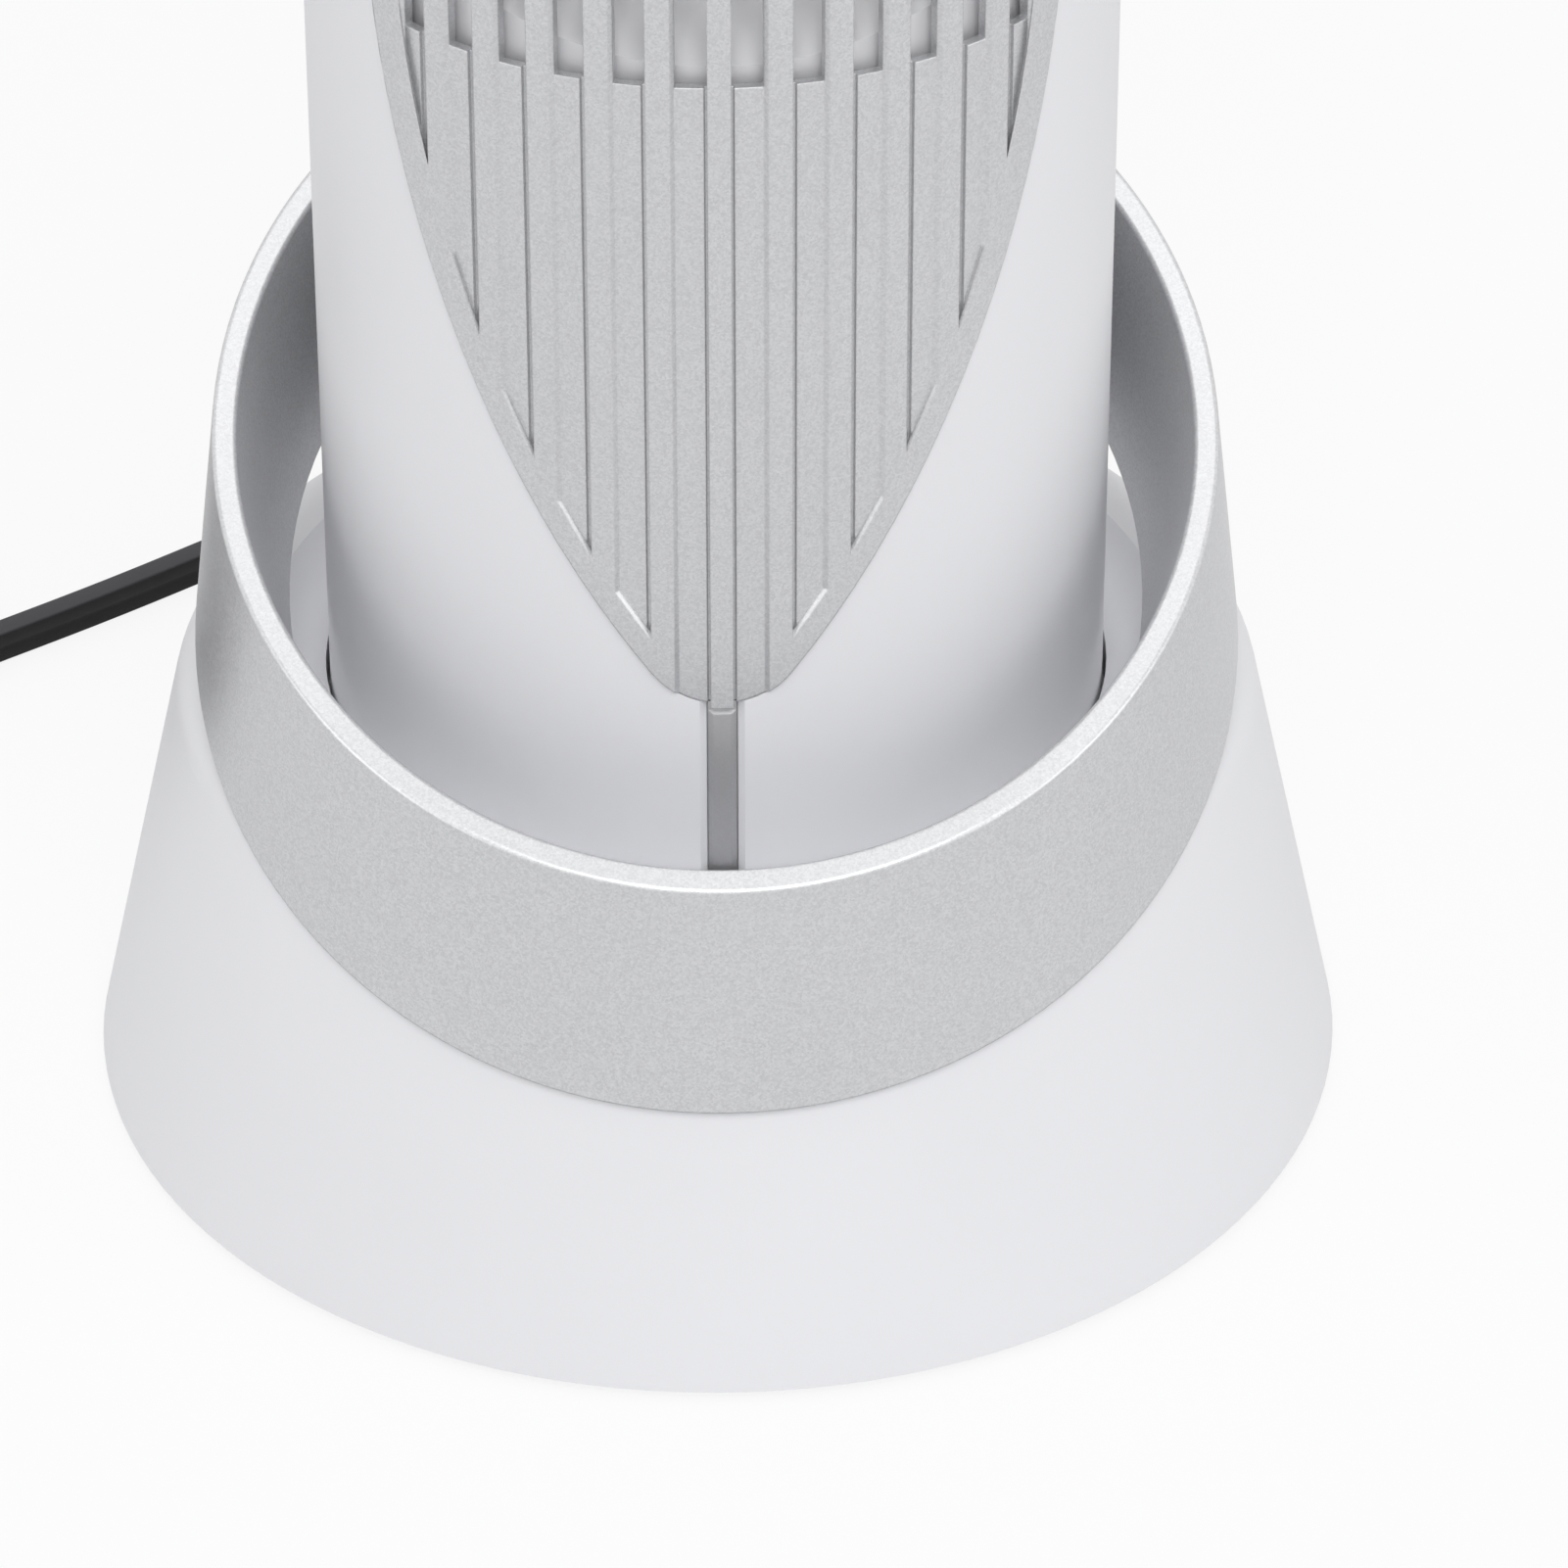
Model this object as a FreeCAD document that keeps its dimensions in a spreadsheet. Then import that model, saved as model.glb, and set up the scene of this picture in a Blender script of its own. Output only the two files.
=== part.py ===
import FreeCAD, Part
import math
import os
import re
import Sketcher

Vector = FreeCAD.Vector
Rotation = FreeCAD.Rotation

# Driving dimensions: millimetres, degrees and counts. Front is -Y, the floor is z = 0.
sizes = {
    # Base cone
    "base_radius": 80.0,
    "base_edge": 1.2,
    "base_height": 60.2,
    "shoulder_spread": 18.2,
    "shoulder_round": 9.0,
    "crest_width": 10.0,
    "base_wall": 2.5,
    "dish_depth": 3.2,
    "recess_depth": 9.2,
    "axle_hole": 6.0,
    # Bottom plate, feet and their screws
    "plate_bottom": 2.2,
    "plate_thickness": 2.5,
    "plate_gap": 1.1,
    "post_inset": 7.0,
    "post_radius": 4.0,
    "post_angle": 45.0,
    "pad_inset": 4.4,
    "pad_radius": 6.0,
    "screw_radius": 1.4,
    "screw_head_radius": 3.0,
    "screw_head_height": 1.6,
    "screw_length": 12.0,
    "screw_gap": 0.05,
    # Slanted ring
    "ring_angle": 23.6,
    "ring_top_spread": 13.05,
    "ring_top_y": -7.5,
    "ring_top_rise": 35.3,
    "ring_foot_spread": 16.3,
    "ring_foot_y": -7.6,
    "ring_foot_rise": 6.5,
    "ring_rim": 3.0,
    "ring_inner_spread": 4.6,
    "ring_inner_y": -2.5,
    "ring_lap": 1.0,
    "rim_round": 0.55,
    # Tower tube
    "tower_radius": 48.8,
    "tower_wall": 2.2,
    "tower_height": 233.2,
    "foot_lift": 1.8,
    "swing_gap": 0.5,
    "fit_gap": 0.3,
    "boss_inset": 14.8,
    "boss_radius": 4.0,
    "boss_foot_gap": 17.2,
    "boss_top_gap": 12.0,
    "boss_seat": 24.0,
    "boss_screw_length": 34.0,
    # Leaf grille
    "leaf_side": 8.5,
    "leaf_foot": 28.8,
    "leaf_crown": 5.6,
    "leaf_tip_round": 10.5,
    "leaf_border": 3.3,
    "leaf_proud": 0.5,
    "leaf_thickness": 1.8,
    "leaf_gap": 0.12,
    "panel_depth": 0.6,
    "panel_angle": 8.27,
    "panel_width": 4.35,
    "panel_slope": 0.6,
    "panel_end": 0.5,
    "groove_width": 0.3,
    "groove_depth": 0.5,
    "intake_width": 4.35,
    "slot_drop": 15.5,
    "slot_crown": 18.4,
    "tongue_length": 0.5,
    "tongue_gap": 0.1,
    # Strip below the leaf
    "strip_width": 3.55,
    "strip_thickness": 0.9,
    "strip_inset": 0.5,
    "strip_gap": 0.1,
    "groove_bevel": 0.9,
    # Rear intake
    "intake_height": 76.0,
    # Top cap, switch and knob
    "cap_height": 10.0,
    "cap_wall": 2.5,
    "cap_round": 6.0,
    "cap_lip": 4.0,
    "knob_radius": 17.0,
    "knob_taper": 1.5,
    "knob_height": 11.0,
    "knob_round": 1.5,
    "flute_radius": 1.1,
    "flute_inset": 0.7,
    "flute_height": 7.7,
    "marker_width": 1.6,
    "marker_length": 11.3,
    "marker_depth": 0.6,
    "shaft_radius": 3.0,
    "shaft_gap": 0.1,
    "shaft_grip": 7.0,
    "switch_side": 28.0,
    "switch_height": 16.0,
    "lens_radius": 2.5,
    "lens_inset": 16.8,
    "lens_proud": 0.6,
    # Air path, heater and fan
    "duct_inset": 1.0,
    "duct_wall": 1.5,
    "duct_margin": 3.0,
    "guide_rise": 22.0,
    "heater_front": -16.0,
    "heater_depth": 12.0,
    "heater_border": 5.0,
    "heater_room": 1.8,
    "ear_depth": 4.0,
    "ear_height": 12.0,
    "core_gap": 0.25,
    "core_inset": 1.0,
    "bar_width": 3.0,
    "fin_rail": 0.8,
    "fin_pitch": 4.0,
    "fin_plate": 1.2,
    "tab_width": 6.3,
    "tab_thickness": 0.8,
    "tab_length": 9.0,
    "tab_place": 22.0,
    "cutout_radius": 6.5,
    "cutout_height": 6.0,
    "fan_room": 4.0,
    "fan_gap": 1.4,
    "shroud_wall": 2.4,
    "shroud_depth": 20.0,
    "flange_thickness": 2.0,
    "arm_width": 5.0,
    "arm_thickness": 3.0,
    "arm_angle": 30.0,
    "hub_radius": 12.0,
    "hub_depth": 11.0,
    "fan_start": 4.0,
    "blade_chord": 15.0,
    "blade_thickness": 1.5,
    "blade_angle": 36.0,
    "motor_radius": 14.0,
    "motor_length": 20.0,
    "motor_shaft": 1.5,
    "cup_wall": 2.2,
    "cup_depth": 8.0,
    # Swing drive under the tower
    "drive_radius": 24.0,
    "drive_height": 18.0,
    "drive_ear": 31.0,
    "drive_hole": 27.5,
    "drive_ear_width": 11.0,
    "drive_ear_thickness": 1.5,
    "drive_screw_length": 4.0,
    "drive_shaft": 3.5,
    "drive_grip": 6.0,
    "foot_thickness": 3.0,
    "foot_hub_radius": 9.0,
    "foot_hub_height": 10.0,
    "glide_inner": 30.0,
    # Switch and terminals inside the base
    "tilt_length": 18.0,
    "tilt_width": 12.0,
    "tilt_height": 20.0,
    "tilt_place": 40.0,
    "block_length": 26.0,
    "block_width": 14.0,
    "block_height": 12.0,
    "block_place": 40.0,
    "block_hole": 1.8,
    # Mains cord
    "gland_height": 12.0,
    "gland_radius": 5.0,
    "gland_reach": 17.0,
    "gland_tip_radius": 3.6,
    "gland_flange_radius": 7.0,
    "gland_flange": 2.0,
    "cord_radius": 2.3,
    "coil_radius": 38.5,
    "coil_turns": 3.5,
    "coil_gap": 0.9,
    "coil_tail": 12.0,
    "tie_width": 7.0,
    "tie_thickness": 0.6,
    "tie_gap": 0.4,
    "tie_angle": 130.0,
    "plug_sleeve": 16.0,
    "plug_sleeve_radius": 5.0,
    "plug_length": 24.0,
    "plug_width": 22.0,
    "plug_round": 4.0,
    "pin_length": 16.0,
    "pin_width": 6.4,
    "pin_thickness": 1.5,
    "pin_spacing": 12.7,
}

# Counts of repeated features
post_count = 4
panel_count = 12
intake_count = 11
blade_count = 7
arm_count = 3
flute_count = 20
fin_columns = 4
cord_sides = 10

# Distance under which two places count as one
same_place = 0.01

# Share of the shorter run that a bend of the cord takes up
bend_share = 0.45

# Turns in which the coil climbs to its upper layer, and the most that it dips inward there
climb_turns = 0.5
climb_dip = 1 / 8

# Fineness of the points on which the coil is measured, per turn and for slopes
coil_samples = 140
slope_step = 1e-4

# Floor route of the cord from the gland to the coil
cord_route = [
    (0.0, 97.0, 12.0),
    (0.0, 110.5, 12.0),
    (-6.5, 123.2, 10.4),
    (-19.2, 130.9, 7.6),
    (-34.8, 130.2, 4.8),
    (-50.3, 122.4, 3.0),
    (-66.0, 111.2, 2.45),
    (-85.0, 97.1, 2.45),
    (-105.0, 81.7, 3.3),
    (-124.0, 66.2, 3.3),
]

doc = FreeCAD.newDocument("desktop_heater")
sheet = doc.addObject("Spreadsheet::Sheet", "sizes")
for row, (size_name, size_value) in enumerate(sizes.items(), 1):
    sheet.set(f"A{row}", size_name)
    sheet.set(f"B{row}", str(size_value))
    sheet.setAlias(f"B{row}", size_name)
doc.recompute()

nodes = []
along_y = Rotation(Vector(1, 0, 0), -90)
half_turn = Rotation(Vector(0, 0, 1), 180)

# Lengths that several pieces share, as formulas in the driving dimensions
shared = {
    "shoulder_radius": "tower_radius + shoulder_spread",
    "ring_top_radius": "tower_radius + ring_top_spread",
    "ring_foot_radius": "tower_radius + ring_foot_spread",
    "ring_inner_radius": "tower_radius + ring_inner_spread",
    "boss_x": "tower_radius - boss_inset",
    "leaf_half_width": "tower_radius - leaf_side",
    "lens_place": "tower_radius - lens_inset",
    "plate_top": "plate_bottom + plate_thickness",
    "plate_radius": "base_radius - base_wall - plate_gap",
    "pad_circle": "plate_radius - pad_radius - pad_inset",
    "post_circle": "shoulder_radius - post_inset",
    "flank": "(base_radius - shoulder_radius) / (base_height - base_edge)",
    "crest_radius": "shoulder_radius - crest_width",
    "dish_height": "base_height - dish_depth",
    "recess_floor": "base_height - recess_depth",
    "recess_ceiling": "recess_floor - base_wall",
    "recess_radius": "tower_radius + swing_gap",
    "ring_top_z": "base_height + ring_top_rise",
    "ring_foot_z": "base_height + ring_foot_rise",
    "tower_foot": "recess_floor + foot_lift",
    "tower_top": "tower_foot + tower_height",
    "tower_inside": "tower_radius - tower_wall",
    "boss_low": "tower_foot + boss_foot_gap",
    "boss_high": "tower_top - boss_top_gap",
    "cap_top": "tower_top + cap_height",
    "cap_ceiling": "cap_top - cap_wall",
    "leaf_half": "(tower_height - leaf_foot - leaf_crown) / 2",
    "leaf_middle": "tower_foot + leaf_foot + leaf_half",
    "leaf_rise": "leaf_half - leaf_tip_round",
    "leaf_arc": "(pow(leaf_half_width; 2) - pow(leaf_tip_round; 2) + pow(leaf_rise; 2)) / (2 * leaf_swell)",
    "leaf_swell": "leaf_half_width - leaf_tip_round",
    "slot_bottom": "leaf_middle - slot_drop",
    "slot_top": "leaf_middle + leaf_half - slot_crown",
    "vent_low": "slot_bottom - duct_margin",
    "vent_high": "slot_top + duct_margin",
    "vent_height": "slot_drop + leaf_half - slot_crown + 2 * duct_margin",
    "vent_middle": "(slot_bottom + slot_top) / 2",
    "intake_bottom": "vent_middle - intake_height / 2",
    "intake_top": "vent_middle + intake_height / 2",
    "grille_outside": "tower_radius + leaf_proud",
    "grille_inside": "grille_outside - leaf_thickness",
    "heater_back": "heater_front + heater_depth",
    "heater_half_width": "sqrt(pow(tower_inside; 2) - pow(heater_front; 2)) - heater_room",
    "duct_half_width": "heater_half_width - duct_inset",
    "ear_reach": "sqrt(pow(tower_inside; 2) - pow(heater_back - ear_depth; 2)) - fit_gap",
    "shroud_back": "heater_back + shroud_depth",
    "shroud_radius": "sqrt(pow(tower_inside; 2) - pow(shroud_back; 2)) - fan_room",
    "tunnel_radius": "shroud_radius - shroud_wall",
    "fan_radius": "tunnel_radius - fan_gap",
    "pilot": "screw_radius + screw_gap",
    "gland_top": "gland_height + gland_flange_radius",
    "gland_seat": "base_radius - base_wall - (gland_top - base_edge) * flank - fit_gap",
}


# Links between the sheet and the solids

def linked(text):
    """Turn a formula in plain size names into one that points at the sheet."""
    def point(found):
        word = found[0]
        if word in shared:
            return f"({linked(shared[word])})"
        return "sizes." + word if word in sizes else word

    return re.sub(r"[a-z_]{3,}", point, text)


def bind(item, **links):
    for name, text in links.items():
        item.setExpression(name, linked(text))
    return item


def place(item, x="0", y="0", z="0", turn=Rotation()):
    item.Placement = FreeCAD.Placement(Vector(), turn)
    for axis, text in zip("xyz", (x, y, z)):
        item.setExpression(f"Placement.Base.{axis}", linked(text))
    return item


def place_by_steps(item, *steps):
    """Place a solid by a chain of (move, axis, angle) steps, outermost first."""
    chain = " * ".join(
        f"placement(vector({move}); rotation(vector({axis}); {angle}))" for move, axis, angle in steps
    )
    item.setExpression("Placement", linked(chain))
    return item


def node(item, label):
    item.Label = label
    nodes.append(item)
    return item


# Primitives and booleans

def box(name, x, y, z, length, width, height):
    solid = doc.addObject("Part::Box", name)
    bind(solid, Length=length, Width=width, Height=height)
    return place(solid, x, y, z)


def cylinder(name, radius, height, x="0", y="0", z="0", turn=Rotation()):
    solid = doc.addObject("Part::Cylinder", name)
    bind(solid, Radius=radius, Height=height)
    return place(solid, x, y, z, turn)


def cut(name, base, tool):
    result = doc.addObject("Part::Cut", name)
    result.Base = base
    result.Tool = tool
    return result


def joined(name, items, kind="Part::MultiFuse"):
    result = doc.addObject(kind, name)
    result.Shapes = items
    return result


def common(name, items):
    return joined(name, items, "Part::MultiCommon")


def group(name, items):
    result = doc.addObject("Part::Compound", name)
    result.Links = items
    return result


def tube(name, outer, inner, height, **spot):
    return cut(name, cylinder(name + "_outer", outer, height, **spot),
               cylinder(name + "_bore", inner, height, **spot))


# Bodies made from sketches

def new_body(name):
    return doc.addObject("PartDesign::Body", name)


def new_sketch(body, role, start="0"):
    sketch = body.newObject("Sketcher::SketchObject", body.Name + "_sketch")
    plane = next(item for item in body.Origin.OriginFeatures if item.Role == role)
    sketch.AttachmentSupport = [(plane, "")]
    sketch.MapMode = "FlatFace"
    sketch.setExpression("AttachmentOffset.Base.z", linked(start))
    return sketch


def fix_point(sketch, geometry, spot, x, y, guess=(1.0, 1.0)):
    for kind, text, value in zip(("DistanceX", "DistanceY"), (x, y), guess):
        index = sketch.addConstraint(Sketcher.Constraint(kind, -1, 1, geometry, spot, value))
        sketch.setExpression(f"Constraints[{index}]", linked(text))


def fix_radius(sketch, geometry, text, guess=1.0):
    index = sketch.addConstraint(Sketcher.Constraint("Radius", geometry, guess))
    sketch.setExpression(f"Constraints[{index}]", linked(text))


def add_polygon(sketch, points):
    count = len(points)
    first = sketch.GeometryCount
    guess = [Vector(math.cos(math.tau * i / count), math.sin(math.tau * i / count), 0) for i in range(count)]
    for i in range(count):
        sketch.addGeometry(Part.LineSegment(guess[i], guess[(i + 1) % count]))
    for i in range(count):
        sketch.addConstraint(Sketcher.Constraint("Coincident", first + i, 2, first + (i + 1) % count, 1))
        fix_point(sketch, first + i, 1, *points[i])


def add_circle(sketch, x, y, radius):
    index = sketch.addGeometry(Part.Circle(Vector(1, 1, 0), Vector(0, 0, 1), 1))
    fix_point(sketch, index, 3, x, y)
    fix_radius(sketch, index, radius)


def add_feature(body, kind, wires, length, role="XY_Plane", start="0", reverse=False):
    """Pad or pocket wires: a list of points is a polygon, a tuple is a circle."""
    sketch = new_sketch(body, role, start)
    for wire in wires:
        if isinstance(wire, tuple):
            add_circle(sketch, *wire)
        else:
            add_polygon(sketch, wire)
    feature = body.newObject("PartDesign::" + kind, body.Name + "_" + kind.lower())
    feature.Profile = sketch
    feature.Reversed = reverse
    return bind(feature, Length=length)


def revolved(name, points):
    body = new_body(name)
    sketch = new_sketch(body, "XZ_Plane")
    add_polygon(sketch, points)
    feature = body.newObject("PartDesign::Revolution", name + "_turn")
    feature.Profile = sketch
    feature.ReferenceAxis = (sketch, ["V_Axis"])
    feature.Angle = 360
    return body


def round_edge(body, radius, height=None):
    """Round the widest ring edge of a turned body, at its top or at a given height."""
    doc.recompute()
    base = body.Tip
    level = base.Shape.BoundBox.ZMax if height is None else height
    rings = []
    for index, edge in enumerate(base.Shape.Edges, 1):
        box_of_edge = edge.BoundBox
        if max(abs(box_of_edge.ZMax - level), abs(box_of_edge.ZMin - level)) < same_place:
            rings.append((box_of_edge.XMax, f"Edge{index}"))
    fillet = body.newObject("PartDesign::Fillet", body.Name + "_round")
    fillet.Base = (base, [max(rings)[1]])
    return bind(fillet, Radius=radius)


def ring_of(circle, count, start=0.0):
    """Formulas for points evenly spaced on a circle."""
    angles = [start + 360.0 * i / count for i in range(count)]
    return [(f"{circle} * cos({angle})", f"{circle} * sin({angle})") for angle in angles]


def screw(name, length, x, y, z, turn=Rotation()):
    """Screw whose head lies below z along its axis and whose shank runs up from z."""
    shank = cylinder(name + "_shank", "screw_radius", length)
    head = cylinder(name + "_head", "screw_head_radius", "screw_head_height", z="-screw_head_height")
    return place(joined(name, [head, shank]), x, y, z, turn)


# Base

def base_profile(inset):
    """Outer line of the base, drawn in by an inset, from the axis round to the tower recess."""
    return [
        ("0", "0"),
        (f"base_radius - {inset}", "base_edge"),
        (f"shoulder_radius - {inset}", f"base_height - {inset}"),
        ("crest_radius", f"base_height - {inset}"),
        ("recess_radius", f"dish_height - {inset}"),
        ("0", f"dish_height - {inset}"),
    ]


def make_base_moulding():
    inner_corner = "shoulder_radius - base_wall + base_wall * flank"
    body = revolved("base_moulding", [
        ("base_radius", "base_edge"),
        ("shoulder_radius", "base_height"),
        ("crest_radius", "base_height"),
        ("recess_radius", "dish_height"),
        ("recess_radius", "recess_floor"),
        ("axle_hole", "recess_floor"),
        ("axle_hole", "recess_floor - base_wall"),
        ("recess_radius + base_wall", "recess_floor - base_wall"),
        ("recess_radius + base_wall", "dish_height - base_wall"),
        ("crest_radius", "base_height - base_wall"),
        (inner_corner, "base_height - base_wall"),
        ("base_radius - base_wall", "base_edge"),
    ])
    round_edge(body, "shoulder_round")
    round_edge(body, "shoulder_round - base_wall", sizes["base_height"] - sizes["base_wall"])
    posts = ring_of("post_circle", post_count, sizes["post_angle"])
    add_feature(body, "Pad", [(x, y, "post_radius") for x, y in posts],
                "base_height - base_wall - plate_top", start="plate_top")
    add_feature(body, "Pocket", [(x, y, "pilot") for x, y in posts],
                "screw_length", start="plate_top", reverse=True)
    add_feature(body, "Pocket", [("0", "gland_height", "gland_radius + fit_gap")],
                "base_radius", role="XZ_Plane")
    add_feature(body, "Pocket", [(x, "0", "pilot") for x in ("drive_hole", "-drive_hole")],
                "base_wall", start="recess_floor - base_wall", reverse=True)
    return body


def ring_ellipse(name, radius, y, z):
    """Ellipse on a slanted plane that is a circle when seen from above."""
    curve = doc.addObject("Part::Ellipse", name)
    bind(curve, MajorRadius=f"({radius}) / cos(ring_angle)", MinorRadius=radius)
    curve.setExpression("Placement", linked(f"placement(vector(0; {y}; {z}); rotation(90; -ring_angle; 0))"))
    return curve


def ring_loft(name, sections):
    loft = doc.addObject("Part::Loft", name)
    loft.Sections = sections
    loft.Solid = True
    loft.Ruled = True
    return loft


def make_ring():
    inner_z = "ring_foot_z + tan(ring_angle) * (ring_inner_y - ring_foot_y)"
    outside = ring_loft("ring_outside", [
        ring_ellipse("ring_foot_line", "ring_foot_radius", "ring_foot_y", "ring_foot_z"),
        ring_ellipse("ring_top_line", "ring_top_radius", "ring_top_y", "ring_top_z"),
    ])
    inside = ring_loft("ring_inside", [
        ring_ellipse("ring_inner_foot", "ring_inner_radius", "ring_inner_y", inner_z),
        ring_ellipse("ring_inner_top", "ring_top_radius - ring_rim", "ring_top_y", "ring_top_z"),
    ])
    band = cut("ring_band", outside, inside)
    doc.recompute()
    tilt = math.tan(math.radians(sizes["ring_angle"]))
    top_z = sizes["base_height"] + sizes["ring_top_rise"]
    rim = doc.addObject("Part::Fillet", "ring_rounded")
    rim.Base = band
    rim_edges = []
    for index, edge in enumerate(band.Shape.Edges, 1):
        point = edge.Vertexes[0].Point
        halfway = edge.valueAt((edge.FirstParameter + edge.LastParameter) / 2)
        off_rim = [abs(spot.z - top_z - tilt * (spot.y - sizes["ring_top_y"])) for spot in (point, halfway)]
        if max(off_rim) < same_place:
            rim_edges.append((index, sizes["rim_round"], sizes["rim_round"]))
    rim.Edges = rim_edges
    seat = revolved("ring_seat", base_profile("ring_lap"))
    round_edge(seat, "shoulder_round - ring_lap")
    return node(cut("accent_ring", rim, seat), "accent_ring")


def make_base():
    ring = make_ring()
    node(cut("base_shell", make_base_moulding(), ring), "base_shell")

    plate = new_body("bottom_plate")
    posts = ring_of("post_circle", post_count, sizes["post_angle"])
    holes = [(x, y, "screw_radius + fit_gap") for x, y in posts]
    add_feature(plate, "Pad", [("0", "0", "plate_radius")] + holes,
                "plate_thickness", start="plate_bottom")
    node(plate, "bottom_plate")

    pads = [cylinder(f"pad_{i}", "pad_radius", "plate_bottom", x, y)
            for i, (x, y) in enumerate(ring_of("pad_circle", post_count))]
    node(group("pads", pads), "foot_pads")

    screws = [screw(f"base_screw_{i}", "screw_length", x, y, "plate_bottom")
              for i, (x, y) in enumerate(posts)]
    node(group("screws", screws), "base_screws")

    tilt = box("tilt_case", "tilt_place - tilt_length / 2", "-tilt_width / 2", "plate_top",
               "tilt_length", "tilt_width", "tilt_height")
    node(tilt, "tilt_switch")

    block = new_body("block")
    left = "(-block_place - block_length / 2)"
    front = "(-block_width / 2)"
    holes = [(f"-block_place + {step} * block_length / 3", "0", "block_hole") for step in (-1, 0, 1)]
    outline = [(left, front), (f"{left} + block_length", front),
               (f"{left} + block_length", f"{front} + block_width"), (left, f"{front} + block_width")]
    add_feature(block, "Pad", [outline], "block_height", start="plate_top")
    add_feature(block, "Pocket", holes, "block_height / 2", start="plate_top + block_height")
    node(block, "terminal_block")


# Swing drive between the base and the tower

def make_swing_drive():
    can = cylinder("drive_can", "drive_radius", "drive_height", z="recess_ceiling - drive_height")
    ears = box("drive_ears", "-drive_ear", "-drive_ear_width / 2", "recess_ceiling - drive_ear_thickness",
               "2 * drive_ear", "drive_ear_width", "drive_ear_thickness")
    bore = cylinder("drive_bore", "drive_shaft + shaft_gap", "drive_grip", z="recess_ceiling - drive_grip")
    holes = [cylinder(f"drive_hole_{i}", "screw_radius + fit_gap", "drive_height", x, "0",
                      "recess_ceiling - drive_height") for i, x in enumerate(("drive_hole", "-drive_hole"))]
    motor = cut("drive_motor", joined("drive_blank", [can, ears]), joined("drive_cuts", [bore] + holes))
    node(motor, "swing_motor")

    screws = [screw(f"drive_screw_{i}", "drive_screw_length", x, "0", "recess_ceiling - drive_ear_thickness")
              for i, x in enumerate(("drive_hole", "-drive_hole"))]
    node(group("drive_screws", screws), "motor_screws")

    axle_foot = "(recess_ceiling - drive_grip + fit_gap)"
    shaft = cylinder("drive_axle", "drive_shaft", f"tower_foot + foot_hub_height - {axle_foot}", z=axle_foot)
    node(shaft, "swing_shaft")

    glide = tube("glide", "tower_inside - fit_gap", "glide_inner", "tower_foot - fit_gap - recess_floor",
                 z="recess_floor")
    node(glide, "glide_ring")

    disc = revolved("foot_disc", [
        ("drive_shaft + screw_gap", "tower_foot"),
        ("tower_inside - fit_gap", "tower_foot"),
        ("tower_inside - fit_gap", "tower_foot + foot_thickness"),
        ("foot_hub_radius", "tower_foot + foot_thickness"),
        ("foot_hub_radius", "tower_foot + foot_hub_height"),
        ("drive_shaft + screw_gap", "tower_foot + foot_hub_height"),
    ])
    node(disc, "foot_disc")


# Tower shells

def half_tube(name, turn):
    height = "tower_top - tower_foot"
    outer = cylinder(name + "_outer", "tower_radius", height, z="tower_foot", turn=turn)
    outer.Angle = 180
    return cut(name, outer, cylinder(name + "_bore", "tower_inside", height, z="tower_foot"))


def boss_spots():
    return [(x, z) for x in ("boss_x", "-boss_x") for z in ("boss_low", "boss_high")]


def bosses(name, turn):
    """Screw bosses that run from the seam to the inside of a half shell."""
    posts = [cylinder(f"{name}_{i}", "boss_radius", "tower_radius", x, "0", z, turn)
             for i, (x, z) in enumerate(boss_spots())]
    limit = cylinder(name + "_limit", "tower_radius - tower_wall / 2", "tower_top - tower_foot",
                     z="tower_foot")
    return common(name, [joined(name + "_posts", posts), limit])


def boss_bores(name, radius, start, length):
    bores = [cylinder(f"{name}_{i}", radius, length, x, start, z, along_y)
             for i, (x, z) in enumerate(boss_spots())]
    return joined(name, bores)


def radial_slots(name, count, middle, bottom, top):
    """Upright boxes through the tower wall, spread evenly about an angle."""
    slots = []
    for i in range(count):
        slot = doc.addObject("Part::Box", f"{name}_{i}")
        bind(slot, Length="intake_width", Width="2 * tower_wall + leaf_thickness", Height=f"{top} - {bottom}")
        angle = f"{middle} + {i - (count - 1) / 2} * panel_angle"
        corner = f"-intake_width / 2; -tower_radius - tower_wall; {bottom}"
        place_by_steps(slot, ("0; 0; 0", "0; 0; 1", angle), (corner, "0; 0; 1", "0"))
        slots.append(slot)
    return joined(name, slots)


def leaf_half():
    """Half the height of the leaf, which fills the tower between its foot and crown margins."""
    return (sizes["tower_height"] - sizes["leaf_foot"] - sizes["leaf_crown"]) / 2


def leaf_middle():
    foot = sizes["base_height"] - sizes["recess_depth"] + sizes["foot_lift"]
    return foot + sizes["leaf_foot"] + leaf_half()


def leaf_arc():
    """Radius of the leaf's side arcs and how far their centres lie beyond the middle line."""
    tip = sizes["leaf_tip_round"]
    width = sizes["tower_radius"] - sizes["leaf_side"]
    rise = leaf_half() - tip
    side = (width ** 2 - tip ** 2 + rise ** 2) / (2 * (width - tip))
    return side, side - width


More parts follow.
